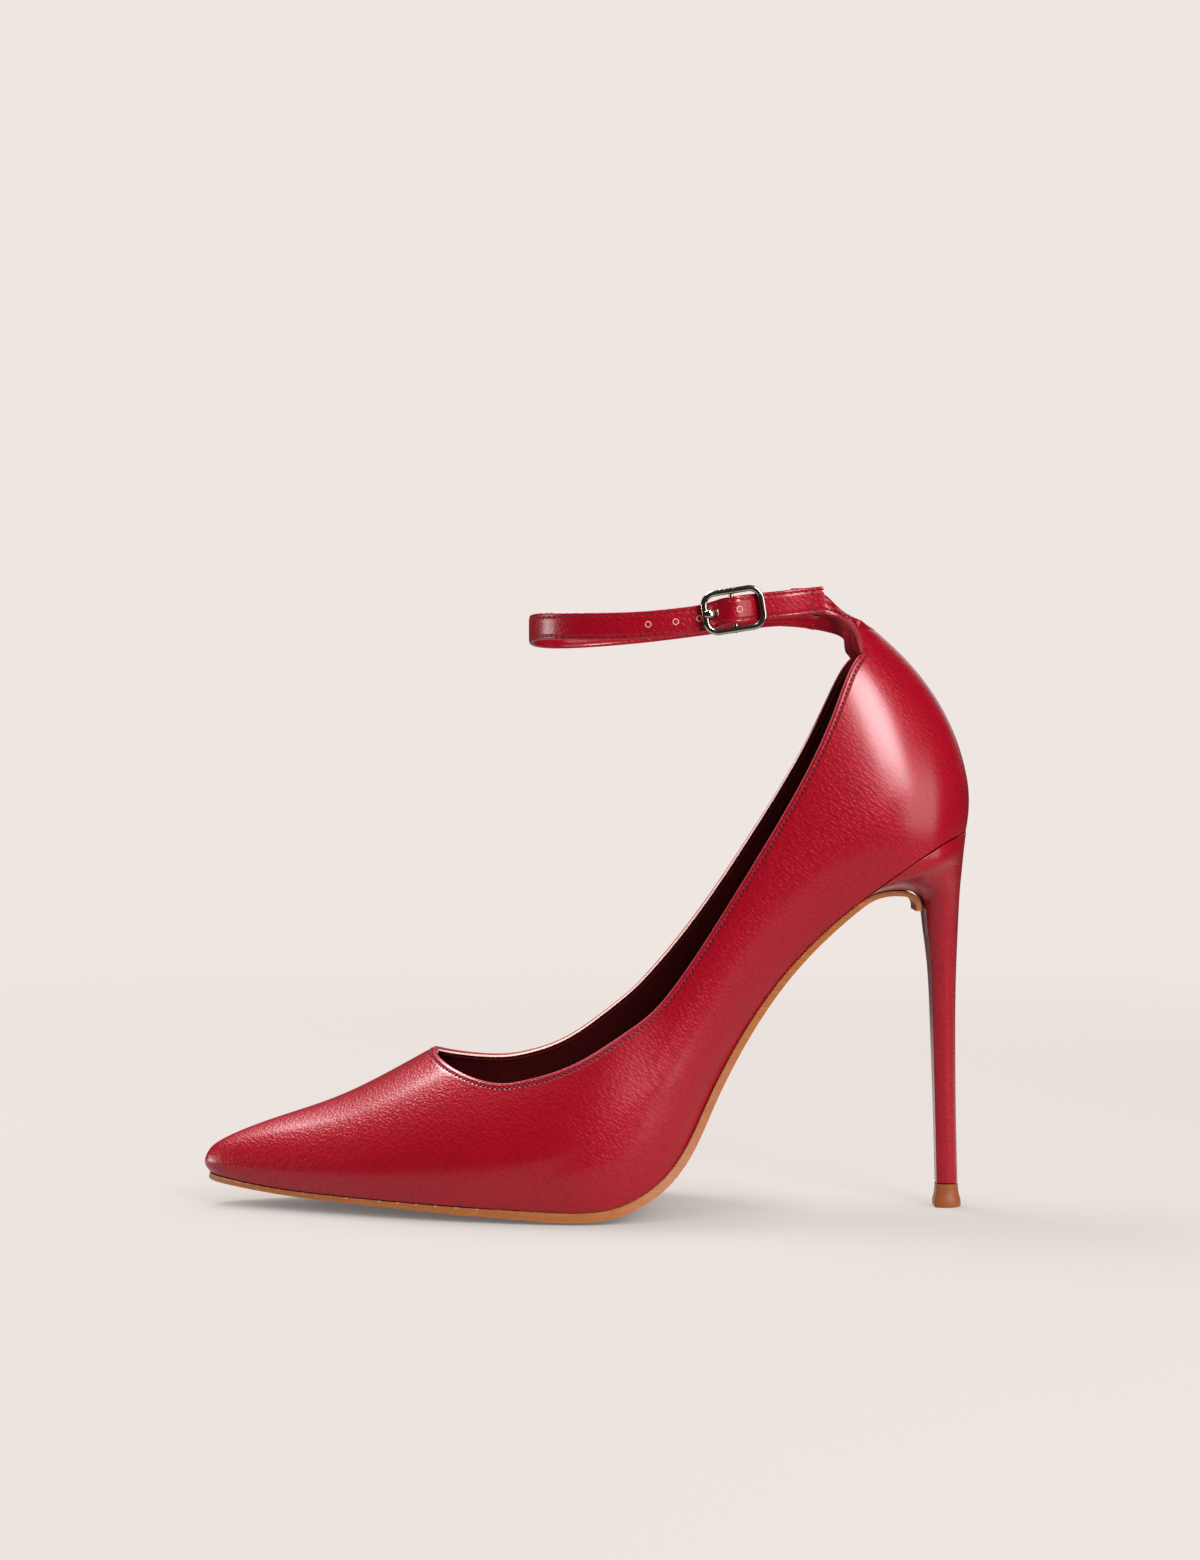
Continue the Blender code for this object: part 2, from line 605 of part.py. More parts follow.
def make_buckle_frame(metal):
    """Rounded rectangular frame with a centre bar, joined into one solid."""
    a, b = (BUCKLE_LENGTH - BUCKLE_BAR) / 2, (BUCKLE_HEIGHT - BUCKLE_BAR) / 2
    round_at = BUCKLE_CORNER - BUCKLE_BAR / 2
    path = []
    for quarter, (sx, sz) in enumerate(((1, 1), (-1, 1), (-1, -1), (1, -1))):
        for step in np.linspace(0, math.pi / 2, 6):
            angle = quarter * math.pi / 2 + step
            out = (math.cos(angle), math.sin(angle))
            center = (sx * (a - round_at), sz * (b - round_at))
            path.append((center[0] + round_at * out[0], center[1] + round_at * out[1], out))
    rings = []
    for x, z, (ox, oz) in path:
        ring = []
        for step in range(8):
            turn = (step + 0.5) * math.pi / 4
            side = BUCKLE_BAR / 2 * math.cos(turn) / math.cos(math.pi / 8)
            deep = BUCKLE_DEPTH / 2 * math.sin(turn) / math.cos(math.pi / 8)
            ring.append(buckle_point(x + ox * side, FRAME_Y + deep, z + oz * side))
        rings.append(ring)
    count = len(rings[0])
    verts = [p for ring in rings for p in ring]
    faces = [(k * count + i, k * count + (i + 1) % count,
              ((k + 1) % len(rings)) * count + (i + 1) % count,
              ((k + 1) % len(rings)) * count + i)
             for k in range(len(rings)) for i in range(count)]
    shape = add_object("buckle_frame", verts, faces, metal)
    for end in (-1, 1):
        lug = block((0, (PIN_Y + FRAME_Y) / 2, end * b),
                    (2.0, PIN_Y - FRAME_Y + 1.6, BUCKLE_BAR * 0.8))
        combine(shape, hidden("buckle_lug", *lug), "UNION")
    pin = [[buckle_point(PIN_RADIUS * math.cos(t), PIN_Y + PIN_RADIUS * math.sin(t), up)
            for t in np.arange(8) * math.pi / 4] for up in (-b, b)]
    combine(shape, hidden("buckle_pin", *loft(pin)), "UNION")
    return shape


def make_buckle_prong(metal):
    """Prong: an open eye round the centre bar and a tongue that rests on the frame."""
    bend = PIN_RADIUS + PIN_CLEARANCE + PRONG_THICK / 2
    line = []
    for angle in np.linspace(math.radians(200), math.radians(-85), 12):
        line.append((bend * math.cos(angle), PIN_Y + bend * math.sin(angle)))
    tip_y = FRAME_Y - BUCKLE_DEPTH / 2 - 0.3 - PRONG_THICK / 2
    run_out = -BUCKLE_LENGTH / 2 + 0.6
    line += [(-2.2, PIN_Y - bend - 0.5), (-4.6, PIN_Y - bend - 1.5), (run_out + 1.6, tip_y),
             (run_out, tip_y)]
    line = np.array(line)
    run = np.gradient(line, axis=0)
    run *= PRONG_THICK / 2 / np.linalg.norm(run, axis=1)[:, None]
    half = PRONG_WIDTH / 2
    rings = [[buckle_point(x - dy * out, y + dx * out, up)
              for up, out in ((-half, -1), (half, -1), (half, 1), (-half, 1))]
             for (x, y), (dx, dy) in zip(line, run)]
    verts, faces = loft(rings)
    return add_object("buckle_prong", verts, faces, metal)


def centre_over_origin(shapes):
    """Put the bottom centre of the shoe's box at the origin."""
    points = np.array([v.co[:] for shape in shapes for v in shape.data.vertices])
    low, high = points.min(axis=0), points.max(axis=0)
    shift = -np.array([(low[0] + high[0]) / 2, (low[1] + high[1]) / 2, low[2]])
    for shape in bpy.data.objects:
        shape.location = shift


def main():
    for old in list(bpy.data.objects):
        bpy.data.objects.remove(old, do_unlink=True)
    finish = {name: finish_of(name) for name in COLORS}
    shapes = [
        make_upper(finish["leather"]),
        make_outsole(finish["sole"]),
        make_insole(finish["sock"]),
        make_heel(finish["leather"]),
        make_heel_tip(finish["tip"]),
        make_ankle_strap(finish["leather"]),
        make_buckle_strap(finish["leather"]),
        make_buckle_frame(finish["metal"]),
        make_buckle_prong(finish["metal"]),
    ]
    centre_over_origin(shapes)


main()
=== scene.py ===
# %% [markdown]
# # Dressing a left ankle strap pump
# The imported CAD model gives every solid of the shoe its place. Here each of them gets the
# skin that the eye meets: a finely divided surface, stitches, punched holes, a trimmed sole
# edge and a finish of its own. Nothing is fitted by hand, because everything below stands in
# the same metres as the solids.

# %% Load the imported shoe
import math

import bmesh
import bpy
import numpy as np
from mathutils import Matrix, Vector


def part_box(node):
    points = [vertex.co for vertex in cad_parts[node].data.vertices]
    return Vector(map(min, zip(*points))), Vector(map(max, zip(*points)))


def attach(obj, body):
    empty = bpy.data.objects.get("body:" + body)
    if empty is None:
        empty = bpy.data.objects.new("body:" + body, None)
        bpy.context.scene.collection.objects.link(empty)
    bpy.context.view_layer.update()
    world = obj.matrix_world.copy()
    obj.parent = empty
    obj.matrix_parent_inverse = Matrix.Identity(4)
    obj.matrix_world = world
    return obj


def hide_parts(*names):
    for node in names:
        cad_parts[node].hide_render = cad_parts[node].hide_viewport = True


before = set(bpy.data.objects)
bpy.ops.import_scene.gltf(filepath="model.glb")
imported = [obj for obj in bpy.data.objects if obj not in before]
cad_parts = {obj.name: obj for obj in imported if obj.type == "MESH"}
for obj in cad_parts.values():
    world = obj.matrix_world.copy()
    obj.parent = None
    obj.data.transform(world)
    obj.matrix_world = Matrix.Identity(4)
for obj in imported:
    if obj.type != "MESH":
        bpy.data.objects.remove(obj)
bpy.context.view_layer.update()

print("solids:", ", ".join(sorted(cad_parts)))

# %% [markdown]
# ## One millimetre, and where the shoe stands
# A shoemaker thinks in millimetres, so the tables below do too. The solids were centred over
# the origin after they were made, and the heel's top piece tells by how much: its back edge
# was drawn at 107.5 mm and it is symmetric from side to side.

# %% Scale and shift
MM = 0.001
TIP_BACK = 107.5
tip_low, tip_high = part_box("heel_tip")
SHIFT = np.array([tip_high.x - TIP_BACK * MM, (tip_low.y + tip_high.y) / 2, 0.0])
print("solids were moved by", (SHIFT / MM).round(2), "mm")


def metres(points):
    """Millimetre points of the drawing, moved to where the solids stand."""
    return np.asarray(points, float) * MM + SHIFT


# %% [markdown]
# ## The studio
# The shoe was photographed from its outer side with the camera level, a little below the
# collar. The paper it stands on runs up behind it without a line. A sheet that glows faintly
# and also catches shade gives that even tone. Its soft contact shadow is partly that caught
# shade and partly painted shadow, where the glow is darkened near the sole.

# %% Camera at the photograph's angle
view = bpy.data.cameras.new("camera")
view.lens = 68.1
view.sensor_width = 36.0
view.shift_y = -40 / 1560
view.clip_start = 0.05
view.clip_end = 20.0
camera = bpy.data.objects.new("camera", view)
camera.location = (0.0042, -0.850, 0.1342)
camera.rotation_euler = (math.radians(90), 0, 0)
bpy.context.collection.objects.link(camera)
bpy.context.scene.camera = camera
bpy.context.scene.view_settings.view_transform = "Standard"
print("camera looks along +Y from", tuple(round(c, 3) for c in camera.location))

# %% [markdown]
# ## Shader sums written as Python
# A material is a web of small nodes. Two helpers keep it readable. `Wire` wraps one value and
# turns `+ - * /` into Math nodes. `Finish` holds one material and adds any other node from
# its type, its settings and the values of its sockets.

# %% Wire and Finish


class Wire:
    """One value in a material: arithmetic on it adds Math nodes."""

    def __init__(self, finish, socket):
        self.finish = finish
        self.socket = socket

    def math(self, operation, *values):
        sockets = dict(enumerate(values))
        return self.finish.node("ShaderNodeMath", {"operation": operation}, sockets)

    def __add__(self, other):
        return self.math("ADD", self, other)

    def __sub__(self, other):
        return self.math("SUBTRACT", self, other)

    def __rsub__(self, other):
        return self.math("SUBTRACT", other, self)

    def __mul__(self, other):
        return self.math("MULTIPLY", self, other)

    def __truediv__(self, other):
        return self.math("DIVIDE", self, other)

    def power(self, other):
        return self.math("POWER", self, other)

    def highest(self, other):
        return self.math("MAXIMUM", self, other)

    def near(self, centre, width):
        """1 at the centre and 0 at the width away from it and beyond."""
        away = self.math("ABSOLUTE", self - centre) / width
        return (1 - away).highest(0.0)

    def step(self, low, high):
        """0 at low, 1 at high and smooth between, whichever of the two is larger."""
        settings = {"interpolation_type": "SMOOTHSTEP"}
        sockets = {"Value": self, "From Min": low, "From Max": high}
        return self.finish.node("ShaderNodeMapRange", settings, sockets)

    __radd__ = __add__
    __rmul__ = __mul__


class Finish:
    """One material, built up node by node."""

    def __init__(self, name):
        self.material = bpy.data.materials.new(name)
        self.material.use_nodes = True
        self.tree = self.material.node_tree
        self.shader = self.tree.nodes["Principled BSDF"]

    def feed(self, socket, value):
        """Link a wire to a socket, or set the socket's own value."""
        if isinstance(value, Wire):
            self.tree.links.new(value.socket, socket)
        else:
            socket.default_value = value

    def node(self, kind, settings, sockets, out=0):
        """Add a node: its settings first, then its sockets by name or number."""
        made = self.tree.nodes.new(kind)
        for key, value in settings.items():
            setattr(made, key, value)
        for key, value in sockets.items():
            self.feed(made.inputs[key], value)
        return Wire(self, made.outputs[out])

    def place(self, stretch=(1, 1, 1), turn=(0, 0, 0)):
        """Position on the piece in metres: patterns come out stretched, then turned."""
        spot = self.node("ShaderNodeTexCoord", {}, {}, "Object")
        return self.node("ShaderNodeMapping", {"vector_type": "TEXTURE"},
                         {"Vector": spot, "Scale": stretch, "Rotation": turn})

    def coordinate(self, axis):
        """The X, Y or Z of a point on the piece, in metres."""
        spot = self.node("ShaderNodeTexCoord", {}, {}, "Object")
        return self.node("ShaderNodeSeparateXYZ", {}, {0: spot}, axis)

    def noise(self, where, scale, detail=2.0, rough=0.5, bend=0.0):
        """Soft cloudy values between 0 and 1."""
        return self.node("ShaderNodeTexNoise", {},
                         {"Vector": where, "Scale": scale, "Detail": detail,
                          "Roughness": rough, "Distortion": bend}, "Fac")

    def pebbles(self, where, scale, feature="F1"):
        """Distance to the nearest pebble's middle: small inside, large in the creases."""
        return self.node("ShaderNodeTexVoronoi", {"feature": feature},
                         {"Vector": where, "Scale": scale}, "Distance")

    def mix(self, share, first, second):
        """Colour that goes from the first to the second as share goes from 0 to 1."""
        return self.node("ShaderNodeMix", {"data_type": "RGBA"},
                         {0: share, 6: first, 7: second}, 2)

    def attribute(self, name):
        """A number stored on the piece's points."""
        return self.node("ShaderNodeAttribute", {"attribute_name": name}, {}, "Fac")

    def relief(self, height, strength, distance):
        """Normal of a surface raised by height times distance."""
        return self.node("ShaderNodeBump", {},
                         {"Height": height, "Strength": strength, "Distance": distance}, 0)

    def set(self, **sockets):
        """Feed the shader: underscores in a name stand for spaces."""
        for key, value in sockets.items():
            self.feed(self.shader.inputs[key.replace("_", " ")], value)
        return self.material


# %% [markdown]
# ## Red leather
# The upper is coated leather: saturated red, a fine pebble grain on a slant, and a satin top
# coat. The grain is a cell pattern 0.7 mm wide, stretched to twice that along the slant, with
# finer wrinkles in it. It feeds a bump, not the shape, because nobody could model creases a
# twentieth of a millimetre deep. Along the sewn groove the colour is painted a touch darker,
# a painted shade for the groove. The gloss is tinted red, which keeps the highlights from
# going grey.

# %% Leather
GRAIN_STRETCH = (2.1, 1.0, 1.0)
GRAIN_SLANT = (0.0, 0.6, 0.0)
EDGE_INSET = 1.3


def red_leather(name, shade_groove=False):
    """Pebbled red leather; the flag paints groove shade, by how far a point lies from the sewn
    edge.
    """
    finish = Finish(name)
    where = finish.place(GRAIN_STRETCH, GRAIN_SLANT)
    warp = finish.noise(where, 240.0, 2.0)
    cells = finish.pebbles(where, 1400.0)
    fine = finish.noise(where, 2600.0, 3.0, 0.6, 0.6)
    veins = finish.noise(where, 900.0, 2.0, 0.5, 0.9)
    height = cells * 0.9 + fine * 0.14 + veins * 0.45 + warp * 0.3
    cloud = finish.noise(finish.place(), 28.0, 3.0)
    red = finish.mix(cloud, (0.190, 0.0006, 0.0060, 1), (0.220, 0.0009, 0.0080, 1))
    red = finish.mix(cells.step(0.45, 0.85) * 0.35, red, (0.100, 0.0004, 0.003, 1))
    # Painted shade: the colour darkens along the sewn groove, by the distance from the edge.
    if shade_groove:
        edge = finish.attribute("to_edge")
        red = finish.mix(edge.near(EDGE_INSET, 0.50) * 0.45, red, (0.040, 0.001, 0.002, 1))
    rough = cloud * 0.08 + cells * 0.08 + 0.27
    return finish.set(Base_Color=red, Roughness=rough, Specular_IOR_Level=0.28,
                      Specular_Tint=(1.0, 0.12, 0.18, 1.0),
                      Coat_Weight=0.52, Coat_Roughness=0.24,
                      Normal=finish.relief(height, 0.62, 0.00028))


LEATHER = red_leather("red_leather", shade_groove=True)
PLAIN_LEATHER = red_leather("red_leather_plain")
print("leather:", len(LEATHER.node_tree.nodes), "nodes")

# %% [markdown]
# ## Lining, raw edge and thread
# Inside, the shoe is lined with a very dark maroon cloth-backed skin; the wings and the band
# at the top of the counter are backed with red leather. The topline is folded, so its edge is
# red on the outside and only its inner quarter shows the lining's cut edge, a thin stripe of
# pale pink that ends on the way up to the band. `wall_depth` says how deep in the wall a
# point of the edge lies. The thread is darker than the leather. The lining's seam, two rows
# across the shoe, is a pattern, so it needs no piece of its own.

# %% Lining, raw edge and thread
SEAM_AT = (-26.3, -27.9)
RED_BACKING = (0.150, 0.158)
STRIPE_ENDS = (0.128, 0.142)
FOLDED_OVER = (0.78, 0.66)


def dark_lining():
    """Dark maroon lining with a fine weave and one double seam across it."""
    finish = Finish("dark_lining")
    seam = sum(finish.coordinate("X").near(x * MM, 0.00022) for x in SEAM_AT)
    weave = finish.noise(finish.place(), 2400.0, 2.0, 0.6)
    cloud = finish.noise(finish.place(), 60.0, 2.0)
    tone = finish.mix(cloud, (0.030, 0.0006, 0.0012, 1), (0.050, 0.0012, 0.0022, 1))
    tone = finish.mix(seam * 0.9, tone, (0.020, 0.001, 0.002, 1))
    height = weave * 0.6 - seam * 3.0
    backing = finish.coordinate("Z").step(*RED_BACKING)
    tone = finish.mix(backing, tone, (0.165, 0.0010, 0.0060, 1))
    return finish.set(Base_Color=tone, Roughness=weave * 0.2 + 0.55,
                      Specular_IOR_Level=0.12,
                      Normal=finish.relief(height, 0.3, 0.0001))


def raw_edge():
    """The collar's edge: dyed red where it is folded over, pale and fibrous inside."""
    finish = Finish("raw_edge")
    fibre = finish.noise(finish.place(), 1800.0, 3.0, 0.7)
    tone = finish.mix(fibre, (0.72, 0.40, 0.33, 1), (0.86, 0.62, 0.54, 1))
    folded = finish.attribute("wall_depth").step(*FOLDED_OVER)
    dyed = finish.coordinate("Z").step(*STRIPE_ENDS).highest(folded)
    tone = finish.mix(dyed, tone, (0.170, 0.0010, 0.0060, 1))
    return finish.set(Base_Color=tone, Roughness=0.7,
                      Normal=finish.relief(fibre, 0.3, 0.0001))


def dark_thread():
    """Waxed polyester thread, with a fine slant of painted light and shade along its turns."""
    finish = Finish("dark_thread")
    twist_and_shade = finish.noise(finish.place((1, 1, 0.33), (0.4, 0.5, 0.2)), 3000.0, 1.0)
    # Painted highlight and shade: slanted lighter and darker stripes stand for light on the
    # thread's turns.
    tone = finish.mix(twist_and_shade, (0.045, 0.002, 0.006, 1), (0.130, 0.010, 0.018, 1))
    return finish.set(Base_Color=tone, Roughness=0.45, Specular_IOR_Level=0.2,
                      Normal=finish.relief(twist_and_shade, 0.4, 0.00008))


LINING, RAW_EDGE, THREAD = dark_lining(), raw_edge(), dark_thread()
print("lining seam at x =", SEAM_AT, "mm")

# %% [markdown]
# ## Sole and metal
# The sole is a thin tan sheet, trimmed flush and rubbed with wax along its edge. Where it
# meets the upper at the toe a little dried cement shows as a whitish line. The heel's top
# piece is a harder, slightly redder tan. The buckle is polished, so it is almost a mirror:
# what it shows is the studio.

# %% Sole, top piece and buckle


def tan_sole():
    """Tan sole: `drop` runs from 0 at the joint with the upper to 1 underneath."""
    finish = Finish("tan_sole")
    where = finish.place()
    drop = finish.attribute("drop")
    toe = finish.attribute("toe")
    grain = finish.noise(where, 900.0, 4.0, 0.6)
    streak = finish.noise(finish.place((6.0, 1.0, 0.25)), 700.0, 2.0)
    tone = finish.mix(grain, (0.200, 0.058, 0.013, 1), (0.270, 0.086, 0.022, 1))
    tone = finish.mix(streak.step(0.45, 0.7) * 0.5, tone, (0.330, 0.115, 0.034, 1))
    cement = (drop.step(0.30, 0.12) * finish.noise(where, 420.0, 3.0).step(0.34, 0.56)
              * toe)
    tone = finish.mix(cement * 0.7, tone, (0.46, 0.27, 0.15, 1))
    return finish.set(Base_Color=tone, Roughness=grain * 0.2 + 0.38,
                      Specular_IOR_Level=0.25,
                      Normal=finish.relief(grain * 0.7 + streak * 0.5 + cement * 0.8,
                                           0.35, 0.00014))


def tan_tip():
    """Moulded top piece of the heel, satin, with a few fine scratches."""
    finish = Finish("tan_tip")
    grain = finish.noise(finish.place((1, 1, 3)), 1500.0, 3.0)
    tone = finish.mix(grain, (0.160, 0.038, 0.009, 1), (0.210, 0.053, 0.014, 1))
    return finish.set(Base_Color=tone, Roughness=grain * 0.2 + 0.33,
                      Specular_IOR_Level=0.25,
                      Normal=finish.relief(grain, 0.2, 0.0001))


def polished_metal():
    """Polished plating with a trace of handling marks in its gloss."""
    finish = Finish("polished_metal")
    haze = finish.noise(finish.place(), 900.0, 3.0)
    tone = finish.mix(haze, (0.32, 0.295, 0.255, 1), (0.42, 0.39, 0.345, 1))
    return finish.set(Base_Color=tone, Metallic=1.0, Roughness=haze * 0.06 + 0.09,
                      Normal=finish.relief(haze, 0.02, 0.00003))


SOLE, TIP_FINISH, METAL = tan_sole(), tan_tip(), polished_metal()
print("sole, tip and metal ready")

# %% [markdown]
# ## Paper sweep and lights
# Six soft lamps light the shoe. The key stands high on the right, in front of the shoe, and
# gives the counter its broad highlight. The overhead lamp serves the vamp and the bed, and
# the low ones at both ends the toe and the heel. The paper glows evenly for the camera. Round
# the shoe it also throws light up under the waist, a glow that stands in for light bounced
# off the paper, and an ambient occlusion node darkens its glow where the sole comes close, a
# painted contact shadow. All else is dim, which keeps the red deep.

# %% Paper, world and lights
PAPER_TONE = (0.863, 0.791, 0.753)
FLOOR_GLOW = 0.73
FLOOR_BOUNCE = 0.85
CONTACT_REACH = 0.04
FLOOR_REACH = 9.0


def tinted(share):
    """The paper's colour at a share of its full glow."""
    return (*(part * share for part in PAPER_TONE), 1)


def paper():
    """Pale paper: mostly an even glow, partly a surface that catches shade.
    Near the sole its glow is painted darker, a painted contact shadow.

    `far` is the distance from the middle of the floor. With it the surface fades into pure
    glow, so that the paper has no horizon, and the light it throws up dies out.
    """
    finish = Finish("paper")
    spot = finish.node("ShaderNodeTexCoord", {}, {}, "Object")
    far = finish.node("ShaderNodeVectorMath", {"operation": "LENGTH"}, {0: spot}, "Value")
    outer = far.step(0.10, 1.0)
    tone = finish.mix(outer, (0.085, 0.079, 0.076, 1), (0.0, 0.0, 0.0, 1))
    glow = finish.mix(outer, tinted(FLOOR_GLOW), tinted(1.0))
    # Painted shadow: ambient occlusion darkens the glow where the sole comes close.
    painted_shadow_ao = finish.node("ShaderNodeAmbientOcclusion", {"samples": 8},
                        {"Distance": CONTACT_REACH}, "AO")
    glow = finish.mix(painted_shadow_ao.power(0.5), tinted(0.12), glow)
    # Glow for all rays but the camera's, near the shoe: it stands in for light bounced off the
    # paper.
    bounce = finish.mix(far.step(0.30, 0.62), tinted(FLOOR_BOUNCE), tinted(0.03))
    seen = finish.node("ShaderNodeLightPath", {}, {}, "Is Camera Ray")
    glow = finish.mix(seen, bounce, glow)
    return finish.set(Base_Color=tone, Roughness=0.95, Specular_IOR_Level=0.0,
                      Emission_Color=glow, Emission_Strength=1.0)


floor_mesh = bpy.data.meshes.new("floor")
floor_mesh.from_pydata([(x * FLOOR_REACH, y * FLOOR_REACH, 0)
                        for x, y in ((-1, -1), (1, -1), (1, 1), (-1, 1))], [], [(0, 1, 2, 3)])
floor_mesh.materials.append(paper())
floor = bpy.data.objects.new("floor", floor_mesh)
bpy.context.collection.objects.link(floor)

world = bpy.data.worlds.new("studio")
world.use_nodes = True
bpy.context.scene.world = world
links, nodes = world.node_tree.links, world.node_tree.nodes
dim, pale = nodes["Background"], nodes.new("ShaderNodeBackground")
dim.inputs["Color"].default_value = (0.80, 0.78, 0.77, 1)
dim.inputs["Strength"].default_value = 0.05
pale.inputs["Color"].default_value = (*PAPER_TONE, 1)
path, chosen = nodes.new("ShaderNodeLightPath"), nodes.new("ShaderNodeMixShader")
links.new(path.outputs["Is Camera Ray"], chosen.inputs[0])
links.new(dim.outputs[0], chosen.inputs[1])
links.new(pale.outputs[0], chosen.inputs[2])
links.new(chosen.outputs[0], nodes["World Output"].inputs["Surface"])

LAMPS = [
    # name, place, aim, width, height, watts
    ("key", (0.53, -0.90, 0.68), (0.07, 0.0, 0.13), 0.40, 0.46, 20.0),
    ("high front", (-0.45, -0.75, 1.35), (0.0, 0.0, 0.07), 0.50, 0.50, 5.0),
    ("overhead", (-0.38, 0.32, 0.95), (-0.06, 0.0, 0.04), 0.6, 0.4, 20.0),
    ("back", (0.5, 1.0, 0.55), (0.05, 0.0, 0.10), 0.6, 0.6, 1.0),
    ("low left", (-1.10, 0.10, 0.16), (0.06, 0.0, 0.06), 0.4, 0.25, 4.0),
    ("low right", (0.80, -0.60, 0.24), (0.06, 0.0, 0.07), 0.70, 0.44, 5.0),
]
for name, where, aim, width, height, watts in LAMPS:
    lamp = bpy.data.lights.new(name, "AREA")
    lamp.shape = "RECTANGLE"
    lamp.size, lamp.size_y, lamp.energy = width, height, watts
    stand = bpy.data.objects.new(name, lamp)
    stand.location = where
    toward = np.array(aim) - np.array(where)
    flat = math.hypot(toward[0], toward[1])
    stand.rotation_euler = (math.atan2(flat, -toward[2]), 0,
                            math.atan2(-toward[0], toward[1]))
    bpy.context.collection.objects.link(stand)
print(len(LAMPS), "lamps")

# %% [markdown]
# ## Meshes from arrays
# Every skin below is a grid of points worked out at once by numpy. `quads` numbers the faces
# of such a grid and `piece` makes the object: it merges points that meet, turns the faces
# outwards, shades it smooth up to a crease angle, hangs it on the shoe's body and hides the
# solid it covers.

# %% Grid faces and finished pieces


def quads(rows, columns, start=0, wrap=False):
    """Corner numbers of a grid's faces; wrap joins the last column to the first."""
    i, j = np.meshgrid(np.arange(rows - 1), np.arange(columns - (not wrap)), indexing="ij")
    k = (j + 1) % columns
    corners = [i * columns + j, i * columns + k, (i + 1) * columns + k, (i + 1) * columns + j]
    return np.stack(corners, -1).reshape(-1, 4) + start


def piece(name, points, faces, materials, covers=(), crease=40, closed=True):
    """Object from metre points and faces, riding on the shoe's one body."""
    mesh = bpy.data.meshes.new(name)
    mesh.from_pydata(np.asarray(points).reshape(-1, 3).tolist(), [],
                     [list(face) for face in faces])
    body = bmesh.new()
    body.from_mesh(mesh)
    bmesh.ops.remove_doubles(body, verts=body.verts, dist=2e-6)
    bmesh.ops.dissolve_degenerate(body, dist=1e-7, edges=body.edges)
    if closed:
        bmesh.ops.recalc_face_normals(body, faces=body.faces)
    body.to_mesh(mesh)
    body.free()
    mesh.shade_smooth()
    mesh.set_sharp_from_angle(angle=math.radians(crease))
    for material in materials:
        mesh.materials.append(material)
    made = bpy.data.objects.new(name, mesh)
    bpy.context.collection.objects.link(made)
    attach(made, "root")
    if covers:
        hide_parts(*covers)
    print(name, len(mesh.vertices), "points")
    return made


def points_of(made):
    """Points of a piece as an array."""
    values = np.empty(len(made.data.vertices) * 3, np.float32)
    made.data.vertices.foreach_get("co", values)
    return values.reshape(-1, 3).astype(float)


def mark(made, name, values):
    """Store one number per point, for a material to read."""
    layer = made.data.attributes.new(name, "FLOAT", "POINT")
    layer.data.foreach_set("value", np.asarray(values, np.float32))


# %% [markdown]
# ## The last
# A pump is pulled over a last, so the last's shape is the shoe's. One row per station from
# the nose to the back seam says where the sole meets the upper, how wide the foot is on each
# side and where the ridge or the topline runs. Cubic splines join the rows. Near the nose and
# the back the stations close up as the hours on a clock face seen from its edge, so that both
# ends come out round.

